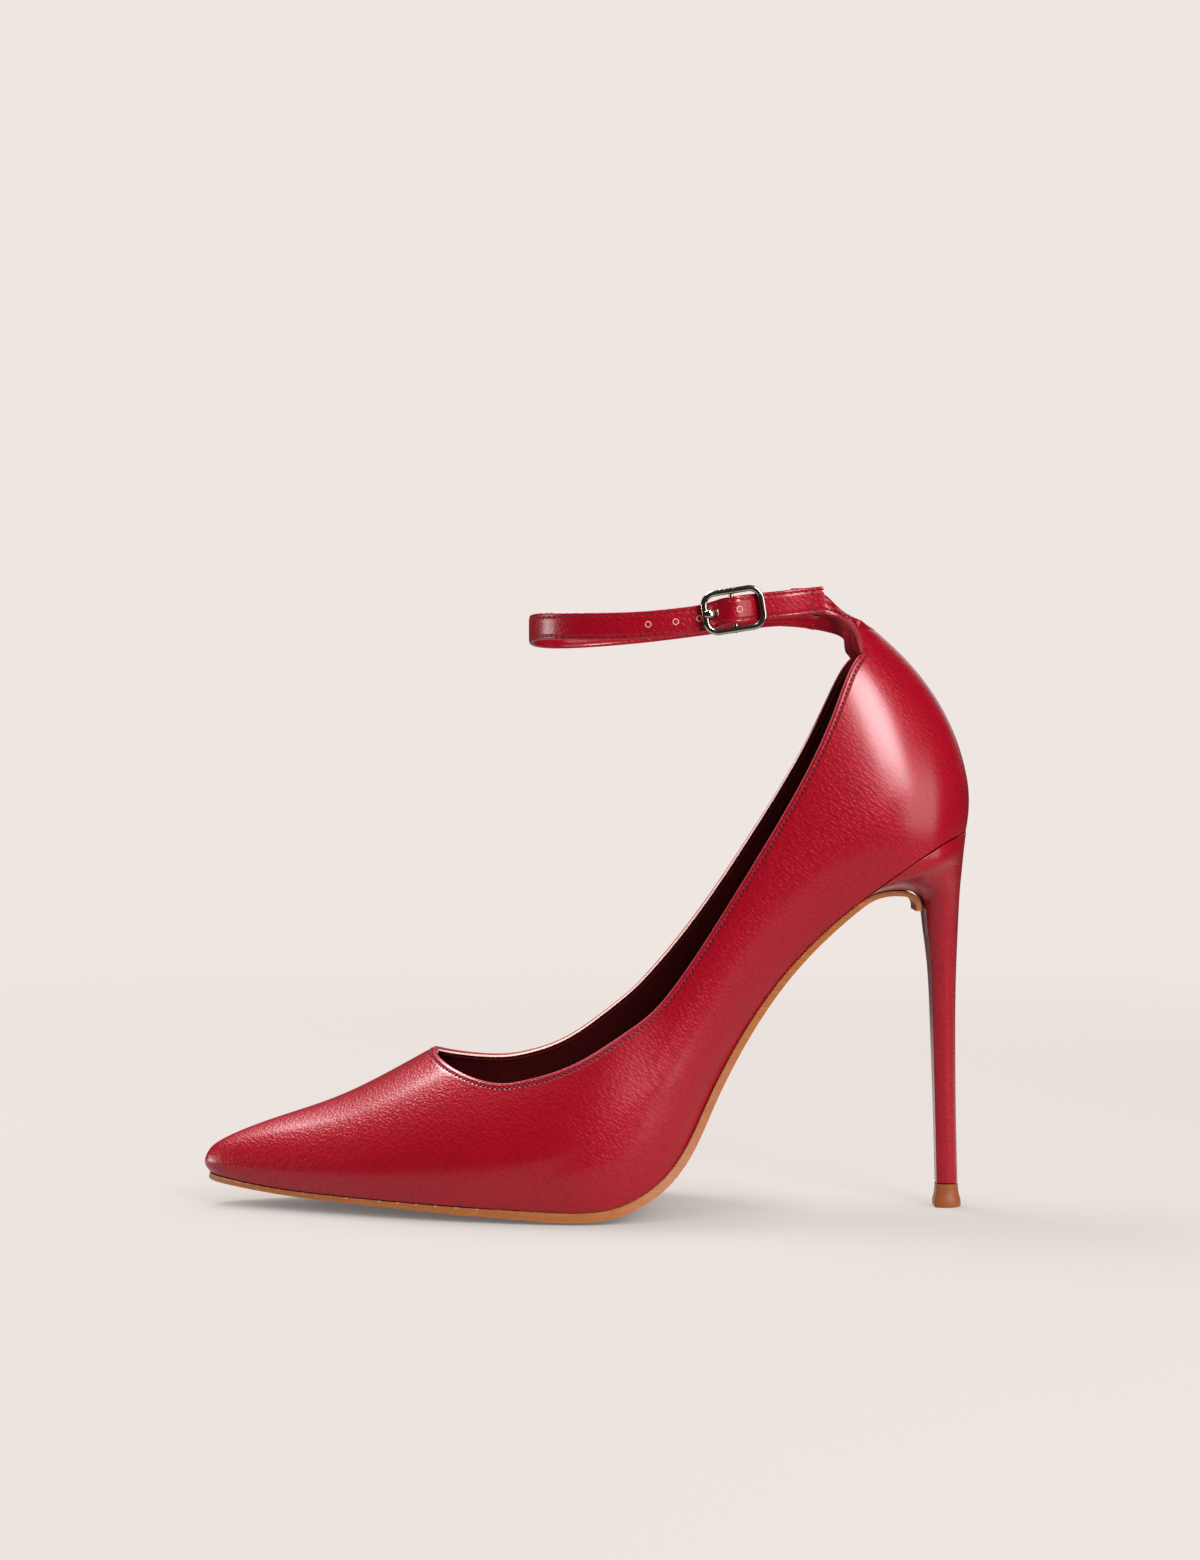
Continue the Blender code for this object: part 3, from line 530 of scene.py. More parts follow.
# %% The last's table
NAMES = ("x z axis lateral medial tuck_lat tuck_med rise top_x top_z open_lat open_med bow"
         ).split()
LAST = [
    (-110.9, 9.3, 5.0, 0.0, 0.0, 1.5, 1.5, 0.50, -109.2, 16.1, 0.72, 0.66, -0.85),
    (-105.6, 8.4, 4.9, 6.9, 6.5, 1.5, 1.5, 0.48, -105.4, 18.8, 0.72, 0.66, 0),
    (-98.0, 7.4, 4.7, 11.1, 10.0, 1.6, 1.6, 0.46, -98.0, 22.1, 0.72, 0.66, 0),
    (-87.0, 6.4, 4.2, 16.4, 14.4, 1.7, 1.7, 0.44, -87.0, 26.0, 0.72, 0.66, 0),
    (-70.0, 5.7, 3.4, 24.0, 20.8, 1.9, 1.9, 0.40, -70.0, 32.1, 0.73, 0.67, 0),
    (-52.0, 5.1, 2.8, 30.6, 26.9, 2.1, 2.1, 0.36, -52.0, 41.3, 0.75, 0.69, 0),
    (-32.0, 4.4, 2.4, 36.0, 32.4, 2.4, 2.4, 0.32, -31.9, 35.7, 0.76, 0.70, 0),
    (-12.0, 3.8, 2.0, 39.2, 34.8, 2.6, 2.8, 0.30, -14.0, 40.1, 0.785, 0.745, 0),
    (8.0, 4.8, 1.5, 39.0, 33.4, 3.4, 4.0, 0.32, 0.5, 46.0, 0.80, 0.754, 0),
    (24.0, 13.2, 1.2, 35.4, 30.6, 6.4, 7.4, 0.36, 11.0, 52.6, 0.83, 0.781, 0),
    (38.0, 36.8, 0.9, 31.0, 28.2, 9.6, 10.4, 0.42, 22.5, 62.6, 0.86, 0.795, 0),
    (55.0, 66.4, 0.5, 28.0, 26.8, 9.4, 9.8, 0.42, 38.5, 86.0, 0.87, 0.827, 0),
    (75.6, 87.5, 0.2, 26.4, 26.0, 5.6, 5.8, 0.32, 55.5, 113.8, 0.88, 0.861, 1.0),
    (93.0, 99.9, 0.0, 24.2, 24.2, 2.6, 2.6, 0.22, 69.5, 141.8, 0.86, 0.854, 3.2),
    (102.5, 105.3, 0.0, 18.6, 18.6, 1.9, 1.9, 0.18, 77.4, 158.2, 0.82, 0.82, 5.0),
    (107.5, 107.3, 0.0, 11.5, 11.5, 1.6, 1.6, 0.16, 84.6, 161.2, 0.80, 0.80, 6.2),
    (110.4, 108.4, 0.0, 0.0, 0.0, 1.5, 1.5, 0.15, 87.3, 161.6, 0.80, 0.80, 6.5),
]
THROAT_X = -44.5
THROAT_LENGTH = 26.5
THROAT_BLUNT = 2.4
THROAT_ROUND = 0.4
CORNER_X = 103.2


def spline(knots, values, at, level=False):
    """Cubic spline through values at knots: its ends run straight on, or stay level."""
    knots, values = np.asarray(knots, float), np.asarray(values, float)
    step = np.diff(knots)
    slope = np.diff(values, axis=0) / step[:, None]
    count = len(knots)
    system = np.eye(count) * 2
    inner = np.arange(1, count - 1)
    system[inner, inner - 1] = step[:-1]
    system[inner, inner] = 2 * (step[:-1] + step[1:])
    system[inner, inner + 1] = step[1:]
    right = np.zeros_like(values)
    right[1:-1] = 6 * np.diff(slope, axis=0)
    if level:
        system[0, :2] = 2 * step[0], step[0]
        system[-1, -2:] = step[-1], 2 * step[-1]
        right[0], right[-1] = 6 * slope[0], -6 * slope[-1]
    bend = np.linalg.solve(system, right)
    at = np.atleast_1d(np.asarray(at, float))
    k = np.clip(np.searchsorted(knots, at) - 1, 0, count - 2)
    h = step[k][:, None]
    a = (knots[k + 1] - at)[:, None] / h
    b = 1 - a
    cubic = ((a ** 3 - a) * bend[k] + (b ** 3 - b) * bend[k + 1]) * h * h / 6
    return a * values[k] + b * values[k + 1] + cubic


ROWS = np.array(LAST, float)
ALONG = np.append(0.0, np.cumsum(np.hypot(np.diff(ROWS[:, 0]), np.diff(ROWS[:, 1]))))
KNOTS = np.arccos(1 - 2 * ALONG / ALONG[-1]) / math.pi
OPEN = np.where(ROWS[:, 0] < THROAT_X, 0.0, ROWS[:, 10])
CREST = ROWS[:, :2] + (ROWS[:, 8:10] - ROWS[:, :2]) / np.sqrt(1 - OPEN ** 2)[:, None]
TABLE = np.hstack([ROWS, CREST])
print("bed is", round(float(ALONG[-1]), 1), "mm long from the side")


def last_rows(r):
    """Columns of the last at places r, 0 at the nose and 1 at the back seam."""
    row = dict(zip(NAMES + ["crest_x", "crest_z"], spline(KNOTS, TABLE, r, level=True).T))
    row["lateral"], row["medial"] = np.maximum(spline(KNOTS, ROWS[:, 3:5], r).T, 0.0)
    return row


def place_at(x):
    """Place r where the feather line reaches the given x."""
    r = np.linspace(0, 1, 2001)
    return float(np.interp(x, last_rows(r)["x"], r))


# %% [markdown]
# ## Sections of the upper
# At each station a section climbs from the feather line to the ridge. Its height follows a
# sine and its half width a cosine, which is a quarter ellipse, tucked in below the fullest
# line and bowed toward the heel. Behind the throat it stops at the topline.

# %% Section surface


def opening(row, side):
    """Topline half width over full half width: nothing on the vamp, a U behind it."""
    share = np.clip((row["x"] - THROAT_X) / THROAT_LENGTH, 0.0, 1.0)
    wide = row["open_lat"] if side < 0 else row["open_med"]
    return wide * (1 - (1 - share) ** THROAT_BLUNT) ** THROAT_ROUND


def fullest(r, side):
    """Plan of the fullest line: the axis plus or minus the half width."""
    row = last_rows(r)
    half = row["lateral"] if side < 0 else row["medial"]
    return np.stack([row["x"], row["axis"] + side * half], -1)


def outward(r, side):
    """Plan normal of the fullest line: its run turned by a right angle, away from the foot."""
    small = 0.002
    run = fullest(np.minimum(r + small, 1), side) - fullest(np.maximum(r - small, 0), side)
    normal = np.stack([-run[:, 1], run[:, 0]], -1) * side
    normal /= np.linalg.norm(normal, axis=1)[:, None]
    normal[r < small] = (-1, 0)
    normal[r > 1 - small] = (1, 0)
    return normal


def last_surface(r, side, angle):
    """Points of the last at places r (n) and section angles (n, m), in millimetres.

    Up the section x and z go from the foot along the chord by sin(angle), plus a parabola of
    height bow; y goes out by half width times cos(angle); near the feather all of it moves
    in by tuck times (1 - up / rise) squared.
    """
    row = last_rows(r)
    up = np.sin(angle)
    foot = np.stack([row["x"], row["z"]], -1)
    chord = np.stack([row["crest_x"], row["crest_z"]], -1) - foot
    share = up / np.sqrt(1 - opening(row, -1) ** 2)[:, None]
    bulge = 4 * row["bow"][:, None] * share * (1 - share)
    lean = np.stack([chord[:, 1], -chord[:, 0]], -1) / np.linalg.norm(chord, axis=1)[:, None]
    flat = foot[:, None] + chord[:, None] * up[..., None] + lean[:, None] * bulge[..., None]
    half = row["lateral"] if side < 0 else row["medial"]
    tuck = row["tuck_lat"] if side < 0 else row["tuck_med"]
    inset = tuck[:, None] * np.maximum(0, 1 - up / row["rise"][:, None]) ** 2
    normal = outward(r, side)
    x = flat[..., 0] - normal[:, :1] * inset
    y = row["axis"][:, None] + side * half[:, None] * np.cos(angle) - normal[:, 1:] * inset
    return np.stack([x, y, flat[..., 1]], -1)


def smooth_path(points, count):
    """Points evenly spread along a smooth curve through the given ones."""
    points = np.array(points, float)
    reach = np.linalg.norm(np.diff(points, axis=0), axis=1)
    knots = np.append(0.0, np.cumsum(reach))
    return spline(knots, points, np.linspace(0, knots[-1], count))


# %% [markdown]
# ## The upper's two halves
# The lateral and the medial half are two grids that share the ridge, the nose and the back
# seam. Stations crowd round the throat, where the topline turns sharply, and rows crowd
# under the topline, where the leather is folded and sewn.

# %% Stations and half shells
throat, behind, corner = (place_at(x) for x in (THROAT_X, THROAT_X + THROAT_LENGTH, CORNER_X))
NOSE = np.append(np.linspace(0, throat - 0.022, 44), np.linspace(throat - 0.022, throat, 14)[1:])
BEND = throat + (behind - throat) * np.linspace(0, 1, 44)[1:] ** 2.2
SIDES = np.linspace(behind, corner, 96)[1:]
BACK = np.linspace(corner, 1, 34)[1:]
PLACES = np.concatenate([NOSE, BEND, SIDES, BACK])
THROAT_AT, CORNER_AT = len(NOSE) - 1, len(PLACES) - 1 - len(BACK)
CLIMB = np.append(np.linspace(0, 0.93, 36), np.linspace(0.93, 1, 17)[1:])


def half_shell(side):
    """Grid of the upper on one side: stations by rows from the feather to the top."""
    stop = np.arccos(opening(last_rows(PLACES), side))
    return last_surface(PLACES, side, stop[:, None] * CLIMB)


shells = {side: half_shell(side) for side in (-1, 1)}
print("half shell:", shells[-1].shape[0], "stations by", shells[-1].shape[1], "rows")

# %% [markdown]
# ## The counter's band and its wings
# Above the topline's back corners the counter goes on as a band, and from both ends of the
# band a wing runs forward to carry the strap. It is cut in one with the counter, so the
# surface has to leave the counter without a fold. Each line across the band is a parabola
# that starts in the direction in which the counter arrives, read off its last eight rows.
# Along the wings that pull fades.

# %% Band and wings
BAND_EDGE = [(77.8, 12.4, 168.0), (80.2, 7.8, 166.9), (81.8, 4.0, 166.2), (82.3, 0.0, 166.0)]
WING = {
    -1: [((77.7, 15.9, 162.3), (76.4, 12.8, 168.6)), ((76.6, 17.5, 164.9), (74.6, 14.5, 169.4)),
         ((74.4, 19.3, 167.3), (72.3, 16.4, 170.7)), ((71.0, 20.8, 169.0), (70.2, 18.3, 172.3)),
         ((67.0, 21.7, 169.8), (67.7, 20.3, 174.4)), ((62.0, 22.4, 169.8), (62.4, 21.9, 176.4)),
         ((57.5, 23.0, 169.5), (57.5, 22.8, 176.5))],
    1: [((77.7, 15.8, 162.2), (76.6, 13.3, 168.9)), ((76.4, 17.7, 164.5), (74.6, 16.1, 170.4)),
        ((73.2, 19.9, 166.0), (71.6, 18.9, 172.4)), ((68.6, 21.8, 167.0), (67.6, 21.1, 174.0)),
        ((63.0, 23.0, 167.8), (62.6, 22.7, 175.2)), ((57.5, 23.7, 168.2), (57.5, 23.5, 175.8))],
}
WING_STATIONS = 60
BAND_ROWS = 19
LEAD_ROWS = 8


def band_and_wing(side):
    """Grid from the wing's tip back to its root and on round the band to the back seam."""
    mirror = np.array([1, side, 1])
    collar = shells[side][CORNER_AT:, -1]
    top = smooth_path(BAND_EDGE, len(collar)) * mirror
    low = np.vstack([collar[:1], np.array([a for a, _ in WING[side]]) * mirror])
    high = np.vstack([top[:1], np.array([b for _, b in WING[side]]) * mirror])
    lower = np.vstack([smooth_path(low, WING_STATIONS + 1)[:0:-1], collar])
    upper = np.vstack([smooth_path(high, WING_STATIONS + 1)[:0:-1], top])
    arrive = collar - shells[side][CORNER_AT:, -1 - LEAD_ROWS]
    arrive = np.vstack([np.repeat(arrive[:1], WING_STATIONS, axis=0), arrive])
    arrive /= np.linalg.norm(arrive, axis=1)[:, None]
    pull = np.clip(np.arange(len(lower)) / WING_STATIONS * 3 - 2, 0, 1)[:, None] ** 2
    width = np.linalg.norm(upper - lower, axis=1)[:, None]
    middle = (lower + upper) / 2 * (1 - pull) + (lower + arrive * width / 2) * pull
    s = (1 - np.cos(np.linspace(0, math.pi, BAND_ROWS)))[:, None, None] / 2
    grid = (1 - s) ** 2 * lower + 2 * s * (1 - s) * middle + s ** 2 * upper
    return grid.transpose(1, 0, 2)


bands = {side: band_and_wing(side) for side in (-1, 1)}
print("band and wing:", bands[-1].shape[:2], "points on each side")

# %% [markdown]
# ## Edges and where the needle goes
# A folded edge swells slightly, and the stitch row just inside it pulls the leather down
# into a groove. To shape both, every point has to know how far it lies from the nearest
# edge. The edges are two lines: the topline with the lower edges of the wings, and the
# band's upper edge. `needle_line` steps inward from the first, along the surface.

# %% Edge lines and the collar's stitch row


def grid_normals(grid):
    """Unit normals of a grid of points: the cross product of its two slopes."""
    normal = np.cross(np.gradient(grid, axis=0), np.gradient(grid, axis=1))
    length = np.linalg.norm(normal, axis=2, keepdims=True)
    return normal / np.maximum(length, 1e-9)


def facing_out(grid, side):
    """Grid normals turned so that those of the tallest section point to its own side."""
    normal = grid_normals(grid)
    return normal * np.sign(np.sum(normal[..., 1]) * side)


shell_out = {side: facing_out(shells[side], side) for side in (-1, 1)}
band_out = {side: facing_out(bands[side], side) for side in (-1, 1)}
part_of_top = slice(THROAT_AT, CORNER_AT + 1)


def around(pick_band, pick_shell):
    """One line round the collar: lateral wing, lateral side, medial side, medial wing."""
    return np.vstack([pick_band[-1][:WING_STATIONS, 0], pick_shell[-1][part_of_top, -1][::-1],
                      pick_shell[1][part_of_top, -1][1:], pick_band[1][:WING_STATIONS, 0][::-1]])


def behind_heel(pick_band):
    """One line along the band's upper edge: lateral wing's tip, back, medial wing's tip."""
    return np.vstack([pick_band[-1][:, -1], pick_band[1][:-1, -1][::-1]])


def even(line, values, pitch):
    """Points and values at even spacing along a line."""
    reach = np.append(0.0, np.cumsum(np.linalg.norm(np.diff(line, axis=0), axis=1)))
    at = np.linspace(0, reach[-1], max(2, int(reach[-1] / pitch)))
    pick = [np.stack([np.interp(at, reach, column) for column in data.T], -1)
            for data in (line, values)]
    return pick


def soften(values, passes):
    """Average each row with its neighbours, a few times over."""
    for _ in range(passes):
        values = np.vstack([values[:1], (values[:-2] + 2 * values[1:-1] + values[2:]) / 4,
                            values[-1:]])
    return values


def needle_line(line, normal, inward, pitch):
    """Stitch centres, run and normal: the edge stepped inward along the surface."""
    fine, out = even(line, normal, 0.25)
    out = soften(out, 30)
    out /= np.linalg.norm(out, axis=1)[:, None]
    run = soften(np.gradient(fine, axis=0), 10)
    run /= np.linalg.norm(run, axis=1)[:, None]
    step = np.cross(out, run)
    step /= np.linalg.norm(step, axis=1)[:, None]
    centre, out = even(fine + step * inward, out, pitch)
    run = np.gradient(centre, axis=0)
    run /= np.linalg.norm(run, axis=1)[:, None]
    return centre, run, out


collar_line, heel_line = around(bands, shells), behind_heel(bands)
TOP_PITCH = 1.45
collar_row = needle_line(collar_line, around(band_out, shell_out), EDGE_INSET, TOP_PITCH)
print(len(collar_row[0]), "stitches round the collar")

# %% [markdown]
# ## The upper's skin
# The four grids join into one sheet. Its points are pushed along their normals: up by a tenth
# of a millimetre on the fold, down in the stitched groove, and by a few soft hollows where the
# leather has relaxed off the last at the ball and behind the joint.

# %% One sheet, pressed and relaxed
FOLD_AT, FOLD_WIDTH, FOLD_RISE = 0.65, 0.40, 0.10
GROOVE_WIDTH, GROOVE_DEPTH = 0.30, 0.16
ROLL_REACH, ROLL_DEPTH = 1.7, 0.55
HOLLOW_SLOPE, HOLLOW_REACH_Y = 0.45, 14.0
HOLLOWS = [
    # middle (x, y, z), reach along, reach up, depth in millimetres
    ((6.0, -38.0, 22.0), 20.0, 4.0, 0.22),
    ((18.0, -35.0, 32.0), 16.0, 3.4, 0.16),
    ((-14.0, -37.0, 14.0), 22.0, 3.6, 0.14),
    ((8.0, 34.0, 22.0), 20.0, 4.0, 0.22),
    ((62.0, -27.0, 104.0), 12.0, 5.0, 0.14),
]


def nearest(points, line):
    """Distance from each point to the nearest point of a densely divided line."""
    dense = even(line, line, 0.3)[0]
    far = [np.sqrt(((part[:, None] - dense) ** 2).sum(-1)).min(1)
           for part in np.array_split(points, 60)]
    return np.concatenate(far)


def one_sheet():
    """The four grids merged and turned outward: points, unit normals and faces."""
    blocks, faces, count = [], [], 0
    for side in (-1, 1):
        for grid in (shells[side], bands[side]):
            blocks.append(grid.reshape(-1, 3))
            faces.append(quads(*grid.shape[:2], count))
            count += len(blocks[-1])
    sheet = piece("upper_sheet", metres(np.vstack(blocks)), np.vstack(faces), [])
    if sum(face.normal[1] * face.center[1] for face in sheet.data.polygons) < 0:
        sheet.data.flip_normals()
    points = (points_of(sheet) - SHIFT) / MM
    normals = np.empty(points.size, np.float32)
    sheet.data.vertex_normals.foreach_get("vector", normals)
    corners = [list(face.vertices) for face in sheet.data.polygons]
    bpy.data.objects.remove(sheet)
    return points, normals.reshape(-1, 3).astype(float), corners


def bell(distance, width):
    """1 in the middle, falling as e to the power of minus (distance / width) squared."""
    return np.exp(-(distance / width) ** 2)


def lift(points, to_edge):
    """How far each point moves along its normal: fold, groove, hollows and throat."""
    fold = FOLD_RISE * bell(to_edge - FOLD_AT, FOLD_WIDTH)
    groove = -GROOVE_DEPTH * bell(to_edge - EDGE_INSET, GROOVE_WIDTH)
    relaxed = np.zeros(len(points))
    for middle, reach_x, reach_z, depth in HOLLOWS:
        offset = points - np.array(middle)
        tilt = offset[:, 2] - offset[:, 0] * HOLLOW_SLOPE
        relaxed -= depth * (bell(offset[:, 0], reach_x) * bell(tilt, reach_z)
                            * bell(offset[:, 1], HOLLOW_REACH_Y))
    from_throat = np.linalg.norm(points - shells[-1][THROAT_AT, -1], axis=1)
    return fold + groove + relaxed - ROLL_DEPTH * bell(from_throat, ROLL_REACH)


sheet_points, sheet_normals, sheet_faces = one_sheet()
to_edge = np.minimum(nearest(sheet_points, collar_line), nearest(sheet_points, heel_line))
moved_by = lift(sheet_points, to_edge)
pressed = sheet_points + sheet_normals * moved_by[:, None]
print("sheet:", len(pressed), "points, moved by at most", round(np.abs(moved_by).max(), 2), "mm")

# %% [markdown]
# ## The wall and its rounded rim
# The lining is the same sheet once more, 1.6 mm inward. Between the two borders run rings of
# points that bulge outward as half an ellipse, so the folded collar comes out round, and the
# feather edge, which is glued down, stays flat. A Solidify modifier with a Bevel would be
# shorter, but it throws a spike where the topline turns sharply at the throat.

# %% Upper
WALL = 1.6
RIM_BULGE = 0.34
COLLAR_NEAR = 1.0
RIM_DEPTHS = np.sin(np.linspace(0, math.pi / 2, 9)[1:-1]) ** 2


def open_arcs(corners, count):
    """Edges with a face on one side only, as pairs of point numbers in the face's order."""
    arcs = np.array([(a, b) for face in corners for a, b in zip(face, face[1:] + face[:1])])
    key = arcs.min(axis=1) * count + arcs.max(axis=1)
    found, uses = np.unique(key, return_counts=True)
    return arcs[np.isin(key, found[uses == 1])]


def off_sheet(arcs, border):
    """Unit directions that lead off the sheet at its border: run times normal, averaged."""
    run = pressed[arcs[:, 1]] - pressed[arcs[:, 0]]
    away = np.cross(run, sheet_normals[arcs[:, 0]])
    total = np.zeros_like(pressed)
    np.add.at(total, arcs[:, 0], away)
    np.add.at(total, arcs[:, 1], away)
    return total[border] / np.linalg.norm(total[border], axis=1)[:, None]


def rim_rings(border, beyond):
    """Rings between the borders: inward by depth, outward by the root of depth (1 - depth)."""
    bulge = RIM_BULGE * (to_edge[border] < COLLAR_NEAR)
    return [pressed[border] - sheet_normals[border] * WALL * depth
            + beyond * (bulge * 2 * math.sqrt(depth * (1 - depth)))[:, None]
            for depth in RIM_DEPTHS]


def rim_faces(arcs, border):
    """Faces from the outer border through the rings to the inner border."""
    number = np.full(len(pressed), -1)
    number[border] = np.arange(len(border))
    first = 2 * len(pressed) + np.arange(len(RIM_DEPTHS)) * len(border)
    levels = [arcs] + [number[arcs] + start for start in first] + [arcs + len(pressed)]
    strips = [np.stack([high[:, 1], high[:, 0], low[:, 0], low[:, 1]], -1)
              for high, low in zip(levels, levels[1:])]
    return np.vstack(strips).tolist()


arcs = open_arcs(sheet_faces, len(pressed))
border = np.unique(arcs)
rings = rim_rings(border, off_sheet(arcs, border))
inner_faces = [[corner + len(pressed) for corner in face[::-1]] for face in sheet_faces]
edge_faces = rim_faces(arcs, border)
wall_points = np.vstack([pressed, pressed - sheet_normals * WALL] + rings)
mesh = bpy.data.meshes.new("upper_skin")
mesh.from_pydata(metres(wall_points).tolist(), [], sheet_faces + inner_faces + edge_faces)
for material in (LEATHER, LINING, RAW_EDGE):
    mesh.materials.append(material)
layer_of = np.repeat([0, 1, 2], [len(sheet_faces), len(inner_faces), len(edge_faces)])
mesh.polygons.foreach_set("material_index", layer_of.astype(np.int32))
mesh.shade_smooth()
mesh.set_sharp_from_angle(angle=math.radians(50))
upper = bpy.data.objects.new("upper_skin", mesh)
bpy.context.collection.objects.link(upper)
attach(upper, "root")
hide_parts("upper")
mark(upper, "to_edge",
     np.concatenate([to_edge, to_edge, np.tile(to_edge[border], len(rings))]))
mark(upper, "wall_depth", np.repeat([0.0, 1.0, *RIM_DEPTHS],
                                    [len(pressed)] * 2 + [len(border)] * len(rings)))
print("upper:", len(mesh.polygons), "faces, open edge", len(border), "points round")

# %% [markdown]
# ## Stitches
# Each stitch is a short grain of thread that dives at both ends. Hundreds of them need a
# cheap shape: seven rings of six points. They are set along a needle line by three unit
# vectors, the run, the normal and their cross product.

# %% Stitch rows
END_DIP = 0.20
THREAD_FLATNESS = 0.8


def stitches(name, centre, run, out, length, thick, sink=0.10):
    """Grains of thread on a line: length along the run, thick across, ends dipping."""
    rings, spokes = 7, 6
    v = np.linspace(-math.pi / 2, math.pi / 2, rings)[:, None]
    u = np.arange(spokes) * 2 * math.pi / spokes
    wide = np.cos(v) ** 0.6
    grain = np.stack([np.sin(v) + 0 * u, wide * np.cos(u), wide * np.sin(u)], -1)
    grain = grain.reshape(-1, 3) * np.array([length, thick, thick * THREAD_FLATNESS]) / 2
    grain[:, 2] -= END_DIP * (grain[:, 0] / (length / 2)) ** 4
    across = np.cross(out, run)
    points = (centre - out * sink)[:, None] + sum(
        grain[:, i][:, None] * axis[:, None] for i, axis in enumerate((run, across, out)))
    one = quads(rings, spokes, wrap=True)
    faces = (one + (np.arange(len(centre)) * rings * spokes)[:, None, None]).reshape(-1, 4)
    return piece(name, metres(points), faces, [THREAD], crease=80)


stitches("collar_stitches", *collar_row, 1.05, 0.56, sink=-0.04)

# %% [markdown]
# ## The outsole
# A thin sheet follows the feather line from the toe, under the arch, up to the heel breast,
# and its last tongue is glued down the front of the heel. It stands a little proud all round,
# its underside is crowned, and it is flat where it carries the foot. Toward the toe it is
# skived thinner. Points remember whether they lie on top, so the finish can put dried cement
# along the joint, and how near the toe they are.

# %% Outsole
GAP = 0.3
OUTSOLE_THICK = 2.6
FLAP_THICK = 1.5
WELT = 0.35
CROWN = 0.9
LIP_X = 76.4
THIN_FROM = 0.45
TOE_PACES, WELT_PACES, CROWN_PACES = 37, 3, 4
SKIVE_X = (-111, -98, -87, -70, -52, -32, -12)
SKIVE = (1.3, 1.2, 1.2, 1.1, 0.9, 0.5, 0.0)
FLAP = [(79.4, 89.6, 17.6), (84.0, 91.0, 13.6), (89.0, 91.2, 10.4), (93.0, 90.3, 8.6),
        (95.0, 88.4, 7.9), (95.5, 85.3, 7.6)]


def sole_line(r):
    """Feather points on both sides, and the downward normal of the bed."""
    flat = np.zeros((len(r), 1))
    lateral, medial = (last_surface(r, side, flat)[:, 0] for side in (-1, 1))
    ahead, back = last_rows(np.minimum(r + 0.004, 1)), last_rows(np.maximum(r - 0.004, 0))
    run = np.stack([ahead["x"] - back["x"], ahead["z"] - back["z"]], -1)
    run /= np.linalg.norm(run, axis=1)[:, None]
    return lateral, medial, np.stack([run[:, 1], np.zeros(len(r)), -run[:, 0]], -1)


def across(lateral, medial, columns, grow):
    """Points straight across the bed, widened at both edges."""
    reach = medial - lateral
    unit = reach / np.maximum(np.linalg.norm(reach, axis=1), 1e-6)[:, None]
    a, b = lateral - unit * grow[:, None], medial + unit * grow[:, None]
    return a[:, None] + (b - a)[:, None] * np.linspace(0, 1, columns)[:, None]


def slab(top, bottom):
    """Closed solid between two grids of the same size: points and faces."""
    rows, columns = top.shape[:2]
    below = rows * columns
    number = np.arange(below).reshape(rows, columns)
    rim = np.concatenate([number[0], number[1:, -1], number[-1, -2::-1], number[-2:0:-1, 0]])
    after = np.roll(rim, -1)
    sides = np.stack([rim, rim + below, after + below, after], -1)
    grid = quads(rows, columns)
    points = np.vstack([top.reshape(-1, 3), bottom.reshape(-1, 3)])
    return points, np.vstack([grid, grid[:, ::-1] + below, sides])


# %% [markdown]
# ## From the toe down the breast
# The sheet's two faces are grids with the same rows. Under the foot a row runs straight across
# from feather line to feather line. On the tongue the rows follow a short spline down the
# heel's breast and narrow with it. `slab` closes such a pair into a solid, and a
# Bevel modifier finishes the rim, because a trimmed edge is never quite sharp.

# %% Sole grids


def outsole_grids(columns=25, count=150):
    """Top and bottom grids of the sole, tongue included.

    The length is counted in paces. Welt and crown grow over the first few, so that the toe's
    point stays slim. From THIN_FROM on the sole thins evenly to the tongue's thickness.
    """
    lip = place_at(LIP_X)
    share = np.linspace(0, 1, count)
    r = lip * share ** 1.1
    lateral, medial, down = sole_line(r)
    pace = share * TOE_PACES
    top = across(lateral, medial, columns, WELT * np.minimum(1, pace / WELT_PACES))
    top = top + down[:, None] * GAP
    thin = np.clip((r - THIN_FROM) / (lip - THIN_FROM), 0, 1)
    thick = OUTSOLE_THICK + (FLAP_THICK - OUTSOLE_THICK) * thin
    thick = thick - np.interp(last_rows(r)["x"], SKIVE_X, SKIVE)
    rise = CROWN * np.minimum(1, pace / CROWN_PACES) * (1 - thin)
    crown = 1 - np.linspace(-1, 1, columns) ** 2
    depth = thick[:, None] + rise[:, None] * crown
    bottom = top + down[:, None] * depth[..., None]
    head = (top[-1, 0] + top[-1, -1]) / 2
    line = smooth_path([(head[0], abs(top[-1, 0, 1]), head[2])]
                       + [(x, half, z) for x, z, half in FLAP], 40)
    turn = np.gradient(line[:, [0, 2]], axis=0)[1:]
    turn /= np.linalg.norm(turn, axis=1)[:, None]
    line = line[1:]
    width = np.linspace(-1, 1, columns)
    tongue = np.stack(np.broadcast_arrays(line[:, :1], line[:, 1:2] * width, line[:, 2:]), -1)
    under = np.stack([turn[:, 1], np.zeros(len(turn)), -turn[:, 0]], -1) * FLAP_THICK
    top, bottom = np.vstack([top, tongue]), np.vstack([bottom, tongue + under[:, None]])
    bottom[..., 2] = np.maximum(bottom[..., 2], 0.0)
    return top, bottom


def trim(made, width, segments):
    """Round the rims of a piece, wherever two faces meet at more than 50 degrees."""
    bevel = made.modifiers.new("trim", "BEVEL")
    bevel.width, bevel.segments, bevel.limit_method = width * MM, segments, "ANGLE"
    bevel.angle_limit = math.radians(50)


